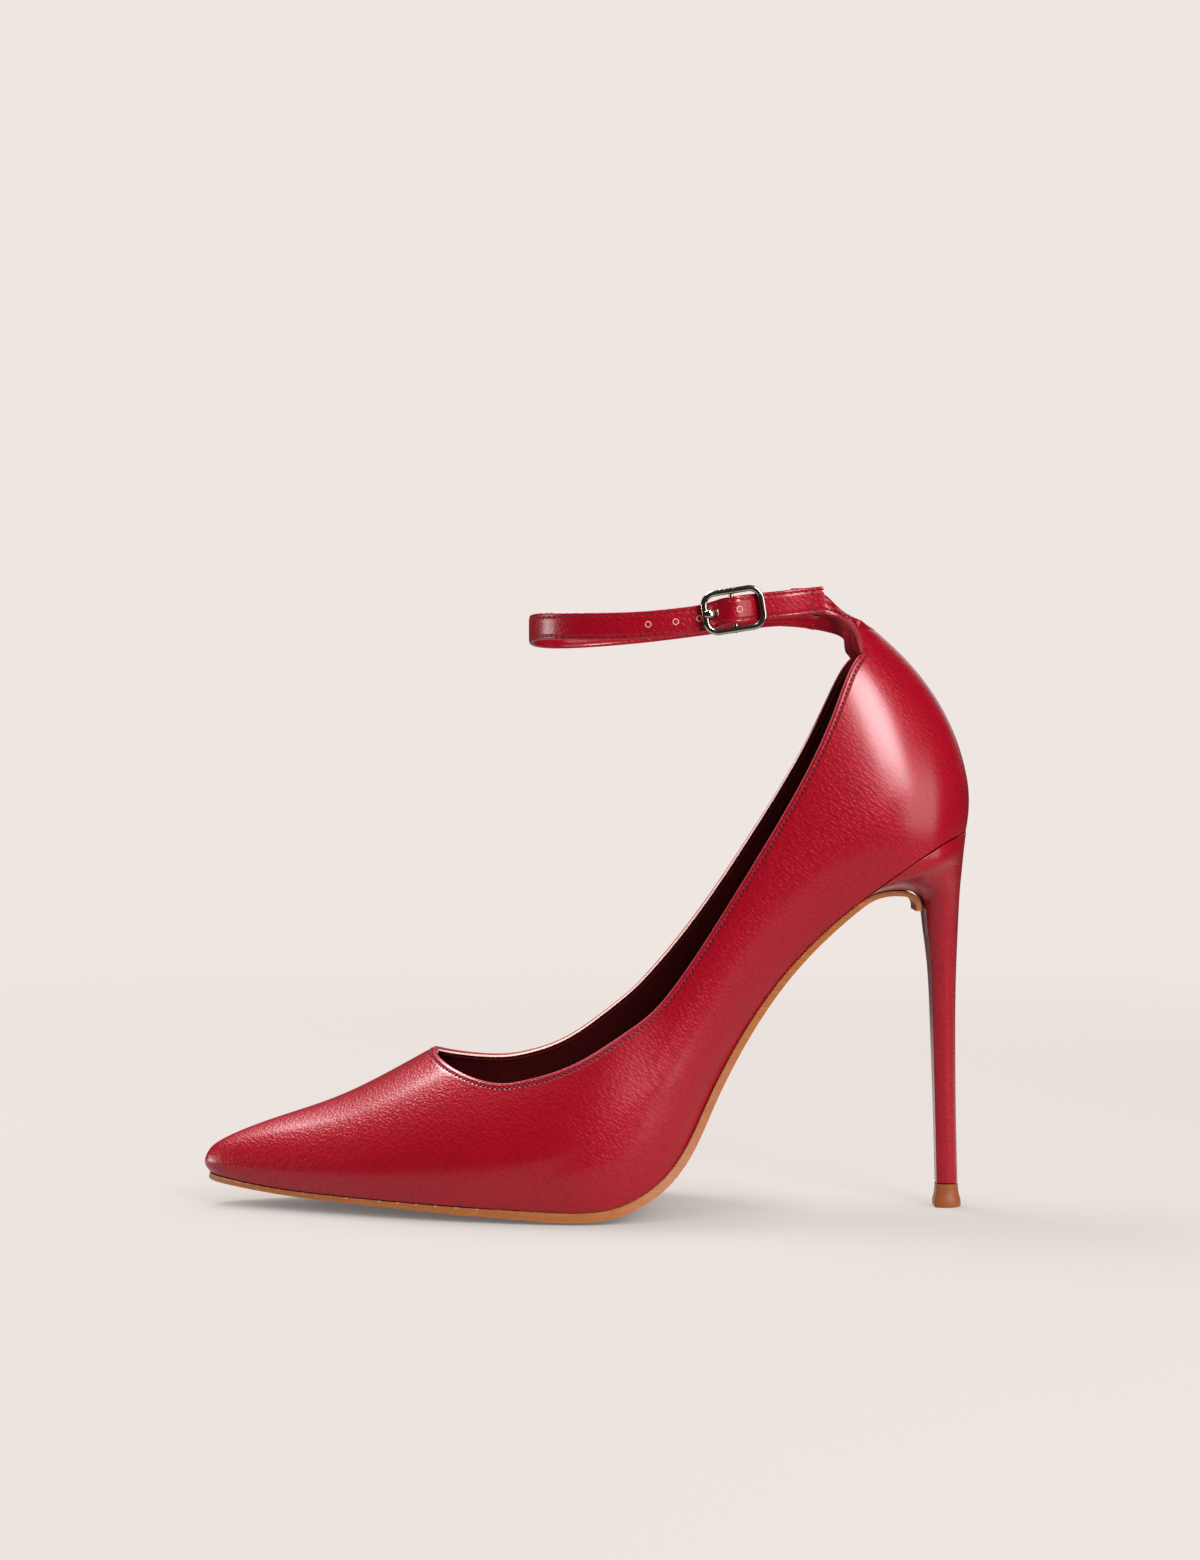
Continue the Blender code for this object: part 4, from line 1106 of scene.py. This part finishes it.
TOP_REACH = 0.9
TOE_FADE = (10.0, 60.0)
sole_top, sole_bottom = outsole_grids()
sole_points, sole_faces = slab(sole_top, sole_bottom)
outsole = piece("outsole_skin", metres(sole_points), sole_faces, [SOLE],
                ["outsole"])
sole_spots = (points_of(outsole) - SHIFT) / MM
on_top = nearest(sole_spots, sole_top.reshape(-1, 3)[::3]) < TOP_REACH
mark(outsole, "drop", 1.0 - on_top)
mark(outsole, "toe", np.clip((TOE_FADE[0] - sole_spots[:, 0]) / TOE_FADE[1], 0.0, 1.0))
trim(outsole, 0.4, 3)

# %% [markdown]
# ## The sock
# Inside lies a thin dark sock on the bed, cut a little smaller than the sole. Its top is
# softly cushioned toward the middle, which catches a faint gleam at the heel.

# %% Sock
INSOLE_THICK = 1.5
INSOLE_INSET = 2.3
INSOLE_EDGE_LOSS = 0.3
SOCK_ROWS, SOCK_COLUMNS = 150, 21


def dark_sock():
    """Very dark maroon sock, matt, with a fine grain."""
    finish = Finish("dark_sock")
    grain = finish.pebbles(finish.place(), 1300.0)
    cloud = finish.noise(finish.place(), 45.0, 2.0)
    tone = finish.mix(cloud, (0.026, 0.0025, 0.004, 1), (0.046, 0.005, 0.008, 1))
    return finish.set(Base_Color=tone, Roughness=grain * 0.15 + 0.5,
                      Specular_IOR_Level=0.15,
                      Normal=finish.relief(grain, 0.3, 0.0001))


def bed_inset(r, side, inset):
    """Points set in from the feather line, still on the slope of the bed."""
    point = last_surface(r, side, np.zeros((len(r), 1)))[:, 0]
    down = sole_line(r)[2]
    normal = outward(r, side)
    slope = normal[:, 0] * down[:, 0] / -down[:, 2]
    return point - inset * np.stack([normal[:, 0], normal[:, 1], slope], -1)


sock_at = np.linspace(0, 1, SOCK_ROWS)
sock_up = -sole_line(sock_at)[2]
sock_edges = [bed_inset(sock_at, side, INSOLE_INSET) for side in (-1, 1)]
sock_low = across(*sock_edges, SOCK_COLUMNS, np.zeros(SOCK_ROWS)) + sock_up[:, None] * GAP
pillow = 1 - np.linspace(-1, 1, SOCK_COLUMNS) ** 4 * INSOLE_EDGE_LOSS
sock_high = sock_low + sock_up[:, None] * (INSOLE_THICK * pillow)[:, None]
sock_points, sock_faces = slab(sock_high, sock_low)
piece("sock_skin", metres(sock_points), sock_faces, [dark_sock()], ["insole"])

# %% [markdown]
# ## The heel and its top piece
# A stiletto's block is wrapped in the upper's leather. Its rings start as the feather line
# under the seat, sweep down and forward into the stem and end as a small D. Splines through
# the rings, from ring to ring and round each ring, give the long concave back and breast.

# %% Heel
HEEL = [
    # front x z, back x z, half width, breast half width over half width
    (80.5, 90.5, 108.5, 104.6, 20.6, 0.86), (86.5, 91.6, 108.1, 100.8, 17.6, 0.76),
    (91.8, 91.2, 107.7, 96.8, 14.8, 0.70), (95.3, 89.4, 107.3, 92.6, 12.4, 0.70),
    (96.6, 86.0, 107.0, 88.2, 10.8, 0.74), (97.2, 80.5, 106.7, 81.6, 9.2, 0.78),
    (98.2, 71.3, 106.3, 71.8, 7.4, 0.80), (98.9, 59.0, 106.0, 59.2, 5.9, 0.80),
    (99.4, 42.0, 106.0, 42.0, 4.8, 0.80), (99.9, 25.0, 106.2, 25.0, 4.1, 0.80),
    (100.3, 6.9, 106.6, 6.9, 3.7, 0.80),
]
TIP = [
    (100.3, 6.6, 106.7, 6.6, 3.7, 0.80), (100.1, 3.6, 107.0, 3.6, 3.9, 0.80),
    (99.7, 1.6, 107.5, 1.6, 4.3, 0.80), (99.7, 0.0, 107.5, 0.0, 4.3, 0.80),
]
SEAT_X = 77.0
AROUND = 40
WAIST = 0.45


def d_rings(table, u):
    """D-shaped rings, lateral side from breast to back, then the medial side forward.

    Along a side the width is full at the waist, 0.45 of the depth, falls to nothing at the
    back as a quarter ellipse and to the breast's share at the front as a parabola.
    """
    front_x, front_z, back_x, back_z, half, breast = np.array(table, float).T[..., None]
    s = np.sin(u * math.pi / 2)
    round_back = np.sqrt(np.clip(1 - ((s - WAIST) / (1 - WAIST)) ** 2, 0, 1))
    front = 1 - (1 - breast) * ((WAIST - s) / WAIST) ** 2
    width = half * np.where(s > WAIST, round_back, front)
    x, z = front_x + (back_x - front_x) * s, front_z + (back_z - front_z) * s
    lateral, medial = np.stack([x, -width, z], -1), np.stack([x, width, z], -1)
    return np.concatenate([lateral, medial[:, -2::-1]], axis=1)


def down_rings(rings, count, closeness=1.0):
    """Rings at closer spacing, on splines from ring to ring."""
    reach = np.linalg.norm(np.diff(rings, axis=0), axis=2).mean(axis=1)
    knots = np.append(0.0, np.cumsum(reach))
    at = knots[-1] * np.linspace(0, 1, count) ** closeness
    flat = spline(knots, rings.reshape(len(rings), -1), at)
    return flat.reshape(count, *rings.shape[1:])


def capped(rings):
    """Faces of a stack of rings with both ends closed."""
    rows, columns = rings.shape[:2]
    last = (rows - 1) * columns
    ends = [list(range(columns)), list(range(last, last + columns))[::-1]]
    return quads(rows, columns, wrap=True).tolist() + ends


ring_at = np.linspace(0, 1, AROUND)
seat_lateral, seat_medial, seat_down = sole_line(np.linspace(place_at(SEAT_X), 1, AROUND))
seat = np.vstack([seat_lateral + seat_down * GAP, (seat_medial + seat_down * GAP)[-2::-1]])
heel_rings = down_rings(np.concatenate([seat[None], d_rings(HEEL, ring_at)]), 110)
heel = piece("heel_skin", metres(heel_rings), capped(heel_rings), [PLAIN_LEATHER],
             ["heel"], crease=50)
trim(heel, 0.35, 2)

tip_rings = down_rings(d_rings(TIP, ring_at), 26)
tip = piece("heel_tip_skin", metres(tip_rings), capped(tip_rings), [TIP_FINISH],
            ["heel_tip"], crease=50)
trim(tip, 0.25, 2)

# %% [markdown]
# ## Straps
# A strap is two layers of leather, glued and sewn 1 mm in from each edge, so its section is
# a flat pillow with a groove at each stitch row and rounded, dyed edges. That section is
# carried along the strap's middle line. The short strap under the buckle is made alike and
# folds back round the centre bar.

# %% Strap section and its sweep
STRAP = [
    (67.5, 18.1, 170.2), (62.5, 19.8, 171.3), (57.0, 20.8, 171.6), (52.0, 22.0, 171.3),
    (46.0, 23.3, 170.6), (34.0, 24.3, 169.0), (18.0, 24.4, 167.0), (3.0, 22.8, 165.6),
    (-8.4, 17.4, 164.9), (-14.6, 9.0, 165.1), (-16.1, 0.0, 165.9), (-14.2, -9.4, 166.4),
    (-7.4, -17.8, 166.3),
    (4.0, -22.9, 166.1), (17.0, -24.8, 166.5), (27.0, -25.2, 167.5), (33.0, -25.35, 168.5),
    (37.1, -27.0, 169.7), (41.0, -28.8, 170.4), (44.6, -27.3, 171.0), (47.6, -25.6, 171.4),
    (51.0, -25.2, 171.8), (55.0, -25.0, 172.2), (60.0, -24.3, 172.8), (66.5, -23.9, 173.5),
]
STRAP_WIDTH = 7.6
STRAP_THICK = 1.6
ROW_INSET = 1.05
ROW_GROOVE_WIDTH = 0.32


def squared(spokes, width, thick, across_power, thick_power):
    """Closed profile: cosine and sine, each to a power below 1 that squares the oval off."""
    turn = np.linspace(0, 2 * math.pi, spokes + 1)[:-1]
    c, s = np.cos(turn), np.sin(turn)
    return (np.sign(c) * np.abs(c) ** across_power * width / 2,
            np.sign(s) * np.abs(s) ** thick_power * thick / 2)


def strap_section(width, thick, groove):
    """Closed profile: a squared oval, flat on both faces, less a groove for each row."""
    a, b = squared(72, width, thick, 0.42, 0.30)
    for row in (-1, 1):
        b -= np.sign(b) * groove * bell(a - row * (width / 2 - ROW_INSET), ROW_GROOVE_WIDTH)
    return a, b


def along_path(line, upright=(0, 0, 1)):
    """Run, face normal and edge direction of a strap at each point of its line."""
    run = np.gradient(line, axis=0)
    run /= np.linalg.norm(run, axis=1)[:, None]
    face = np.cross(run, upright)
    face /= np.linalg.norm(face, axis=1)[:, None]
    return run, face, np.cross(face, run)


def sweep(line, section, upright=(0, 0, 1)):
    """Rings of the section along the line: first value across the strap, second outward."""
    run, face, edge = along_path(line, upright)
    a, b = section
    return line[:, None] + edge[:, None] * a[:, None] + face[:, None] * b[:, None]


CUT_END = 0.93


def rounded_ends(rings):
    """Pull the end rings in toward their middle so that a cut end isn't a knife edge."""
    rings = rings.copy()
    for end in (0, -1):
        middle = rings[end].mean(axis=0)
        rings[end] = middle + (rings[end] - middle) * CUT_END
    return rings


strap_line = smooth_path(STRAP, 560)
strap_rings = rounded_ends(sweep(strap_line, strap_section(STRAP_WIDTH, STRAP_THICK, 0.13)))
piece("strap_skin", metres(strap_rings), capped(strap_rings), [PLAIN_LEATHER],
      ["ankle_strap"], crease=60)
strap_run, strap_face, strap_edge = along_path(strap_line)

# %% [markdown]
# ## The strap's stitches and holes
# Two rows run the strap's whole length on its outer face, and a short row crosses the tail
# just before its end. The punched holes are little cups: a pale torn rim, and a wall and floor
# painted near black as the shade inside the hole. Each is a profile turned round the strap's
# normal at its place on the line.

# %% Strap rows and punched holes
STRAP_PITCH = 2.1
TAIL_MARGIN = 1.5
HOLE_X = (17.1, 24.9, 31.3, 42.2)
HOLE_RADIUS = 0.62
HOLE_SPOKES = 28


def strap_row(offset, start, stop, lift):
    """Stitch centres on the strap's outer face between two points of its line."""
    pick = slice(start, stop)
    line = strap_line[pick] + strap_edge[pick] * offset + strap_face[pick] * lift
    centre, out = even(line, strap_face[pick], STRAP_PITCH)
    run = np.gradient(centre, axis=0)
    run /= np.linalg.norm(run, axis=1)[:, None]
    out -= run * (out * run).sum(axis=1)[:, None]
    out /= np.linalg.norm(out, axis=1)[:, None]
    return centre, run, out


half = STRAP_THICK / 2
rows = [strap_row(side * (STRAP_WIDTH / 2 - ROW_INSET), 0, len(strap_line) - 8, half - 0.10)
        for side in (-1, 1)]
both_rows = (np.vstack(pair) for pair in zip(*rows))
stitches("strap_stitches", *both_rows, 1.45, 0.40, sink=0.02)

tail = len(strap_line) - 10
cross = np.linspace(-1, 1, 3) * (STRAP_WIDTH / 2 - TAIL_MARGIN)
tail_centre = (strap_line[tail] + strap_edge[tail] * cross[:, None]
               + strap_face[tail] * (half + 0.02))
stitches("tail_stitches", tail_centre, np.tile(strap_edge[tail], (3, 1)),
         np.tile(strap_face[tail], (3, 1)), 1.3, 0.40, sink=0.02)


def hole_rim():
    """Torn pale edge round a punched hole."""
    finish = Finish("hole_rim")
    fibre = finish.noise(finish.place(), 3000.0, 2.0)
    tone = finish.mix(fibre, (0.34, 0.15, 0.09, 1), (0.66, 0.42, 0.30, 1))
    return finish.set(Base_Color=tone, Roughness=0.5)


def punched_hole(name, at, radius):
    """A cup turned round the strap's normal: rim, lip, wall and floor; wall and floor painted
    dark as the hole's shade.
    """
    profile = np.array([(1.45, -0.05), (1.42, 0.04), (1.22, 0.09), (1.05, 0.04), (0.98, -0.10),
                        (0.96, -0.45), (0.0, -0.45)]) * (radius, 1.0)
    turn = np.arange(HOLE_SPOKES) * 2 * math.pi / HOLE_SPOKES
    spot = strap_line[at] + strap_face[at] * half
    wheel = (np.cos(turn)[:, None] * strap_run[at] + np.sin(turn)[:, None] * strap_edge[at])
    points = (spot + profile[:, :1, None] * wheel
              + profile[:, 1:, None] * strap_face[at])
    made = piece(name, metres(points), quads(len(profile), HOLE_SPOKES, wrap=True),
                 [HOLE_RIM, HOLE_SHADE], crease=50, closed=False)
    if made.data.polygons[0].normal.dot(strap_face[at]) < -0.5:
        made.data.flip_normals()
    # Painted shade: faces inside the hole's radius take the near black finish.
    inside = [np.linalg.norm(np.array(p.center) - metres(spot)) < radius * 1.05 * MM
              for p in made.data.polygons]
    made.data.polygons.foreach_set("material_index", np.array(inside, np.int32))
    return made


def painted_hole_shade():
    """Inside of a punched hole: painted shade, near black with a fine noise."""
    finish = Finish("painted_hole_shade")
    fibre = finish.noise(finish.place(), 4000.0, 2.0)
    tone = finish.mix(fibre, (0.02, 0.002, 0.003, 1), (0.05, 0.006, 0.008, 1))
    return finish.set(Base_Color=tone, Roughness=0.9)


HOLE_RIM, HOLE_SHADE = hole_rim(), painted_hole_shade()
lateral_part = np.arange(len(strap_line)) > len(strap_line) // 2
for number, x in enumerate(HOLE_X):
    miss = np.where(lateral_part, np.abs(strap_line[:, 0] - x), 1e9)
    punched_hole(f"strap_hole_{number}", int(np.argmin(miss)), HOLE_RADIUS)

# %% [markdown]
# ## The buckle
# The frame is one rounded bar bent into a rectangle with wide corners and tilted with the
# strap. A thin centre bar lies behind it on two lugs, and the short strap folds round that
# bar. All of it is polished and left plain.

# %% Buckle frame and centre bar
BUCKLE_LENGTH, BUCKLE_HEIGHT = 17.9, 12.6
BUCKLE_BAR, BUCKLE_DEPTH, BUCKLE_CORNER = 1.7, 2.0, 4.2
BUCKLE_TILT = math.radians(9.0)
BUCKLE_X, BUCKLE_Z, FRAME_Y, PIN_Y = 40.9, 170.4, -27.6, -25.7
PIN_RADIUS = 0.7
PRONG_WIDTH, PRONG_THICK = 2.2, 0.9
TIP_RINGS, TIP_SHARE = 5, 0.55
PIN_CLEARANCE = 0.25
LUG_WIDTH, LUG_THICK = 1.90, 1.36
CHAPE_THICK = 1.1
CHAPE = [(66.0, -17.9, 171.8), (62.5, -19.2, 172.4), (57.0, -20.35, 172.2),
         (51.0, -21.6, 171.6), (46.5, -22.4, 171.2)]


def buckle_point(along, out, up):
    """Point of the buckle's tilted frame: along the strap, out in y, up across it."""
    c, s = math.cos(BUCKLE_TILT), math.sin(BUCKLE_TILT)
    along, out, up = np.broadcast_arrays(*np.atleast_1d(along, out, up))
    return np.stack([BUCKLE_X + along * c - up * s, out, BUCKLE_Z + along * s + up * c], -1)


def bar_rings(path, out, middle_y, wide, deep, spokes=20):
    """Rings of an oval bar round a flat path whose outward directions are given."""
    side, depth = squared(spokes, wide, deep, 0.55, 0.55)
    a = path[:, :1] + out[:, :1] * side
    b = path[:, 1:] + out[:, 1:] * side
    return buckle_point(a, middle_y + depth, b)


corner_round = BUCKLE_CORNER - BUCKLE_BAR / 2
half_long, half_high = (BUCKLE_LENGTH - BUCKLE_BAR) / 2, (BUCKLE_HEIGHT - BUCKLE_BAR) / 2
angle = np.concatenate([q * math.pi / 2 + np.linspace(0, math.pi / 2, 16) for q in range(4)])
quarter = np.repeat(np.arange(4), 16)
signs = np.array([(1, 1), (-1, 1), (-1, -1), (1, -1)])[quarter]
outs = np.stack([np.cos(angle), np.sin(angle)], -1)
loop = signs * (half_long - corner_round, half_high - corner_round) + outs * corner_round
loop_rings = bar_rings(loop, outs, FRAME_Y, BUCKLE_BAR, BUCKLE_DEPTH)
closed_loop = np.concatenate([loop_rings, loop_rings[:1]])
parts = [closed_loop.reshape(-1, 3)]
part_faces = [quads(*closed_loop.shape[:2], wrap=True).tolist()]
pin_line = buckle_point(0.0, PIN_Y, np.linspace(-half_high, half_high, 12))
pin_rings = sweep(pin_line, squared(16, 2 * PIN_RADIUS, 2 * PIN_RADIUS, 1, 1), (0, 1, 0))
lugs = [sweep(buckle_point(0.0, np.linspace(FRAME_Y, PIN_Y + 0.4, 8), end * half_high),
              squared(16, LUG_WIDTH, LUG_THICK, 1, 1), (0, 0, 1)) for end in (-1, 1)]
for part in [pin_rings, *lugs]:
    first = sum(len(points) for points in parts)
    parts.append(part.reshape(-1, 3))
    part_faces.append([[corner + first for corner in face] for face in capped(part)])
piece("buckle_frame_skin", metres(np.vstack(parts)), sum(part_faces, []), [METAL],
      ["buckle_frame"], crease=45)

# %% [markdown]
# ## The prong
# The prong's eye is wrapped round the centre bar, and its tongue runs forward over the strap
# and rests on the front bar. One line is the path of both, and a squared oval that narrows
# toward the tip is carried along it.

# %% Prong
bend = PIN_RADIUS + PIN_CLEARANCE + PRONG_THICK / 2
eye = np.radians(np.linspace(200, -85, 40))
tip_y = FRAME_Y - BUCKLE_DEPTH / 2 - 0.3 - PRONG_THICK / 2
run_out = -BUCKLE_LENGTH / 2 + 0.6
tongue = smooth_path([(bend * math.cos(eye[-1]), PIN_Y + bend * math.sin(eye[-1]), 0),
                      (-2.4, PIN_Y - bend + 0.3, 0), (-4.9, PIN_Y - bend - 0.5, 0),
                      (run_out + 1.9, tip_y, 0), (run_out, tip_y, 0)], 40)
hook = np.stack([bend * np.cos(eye), PIN_Y + bend * np.sin(eye)], -1)
flat_line = np.vstack([hook[:-1], tongue[:, :2]])
prong_line = buckle_point(flat_line[:, 0], flat_line[:, 1], 0.0)
tilt_up = (-math.sin(BUCKLE_TILT), 0, math.cos(BUCKLE_TILT))
prong_rings = sweep(prong_line, squared(24, PRONG_WIDTH, PRONG_THICK, 0.6, 0.8), tilt_up)
from_tip = np.arange(len(prong_line))[::-1]
taper = np.clip(from_tip / TIP_RINGS, 0, 1) ** 0.5 * (1 - TIP_SHARE) + TIP_SHARE
middle = prong_rings.mean(axis=1, keepdims=True)
prong_rings = middle + (prong_rings - middle) * taper[:, None, None]
piece("buckle_prong_skin", metres(prong_rings), capped(prong_rings), [METAL],
      ["buckle_prong"], crease=60)

# %% [markdown]
# ## The short strap
# It comes out of the lateral wing, folds round the centre bar and turns back on itself. Most
# of it hides behind the long strap; its lower edge and its fold show from inside and below.

# %% Short strap
fold_radius = PIN_RADIUS + PIN_CLEARANCE + CHAPE_THICK / 2
fold_angle = np.radians(np.linspace(102, 296, 36))
fold_line = buckle_point(fold_radius * np.cos(fold_angle),
                         PIN_Y + fold_radius * np.sin(fold_angle), 0.0)
back_leg = np.vstack([fold_line[-1:], buckle_point(3.3, PIN_Y + 0.3, 0.0),
                      buckle_point(5.2, PIN_Y + 1.7, 0.0)])
short_line = np.vstack([smooth_path(CHAPE, 50), fold_line, smooth_path(back_leg, 16)[1:]])
short_rings = rounded_ends(sweep(short_line, strap_section(STRAP_WIDTH - 0.4, CHAPE_THICK, 0.08),
                                 tilt_up))
piece("short_strap_skin", metres(short_rings), capped(short_rings), [PLAIN_LEATHER],
      ["buckle_strap"], crease=60)

# %% [markdown]
# ## The dressed shoe
# Every piece rides on the shoe's one body. Both boxes are kept, so that the dressed shoe can
# be compared with the solids.

# %% Finish
print("shoe dressed")
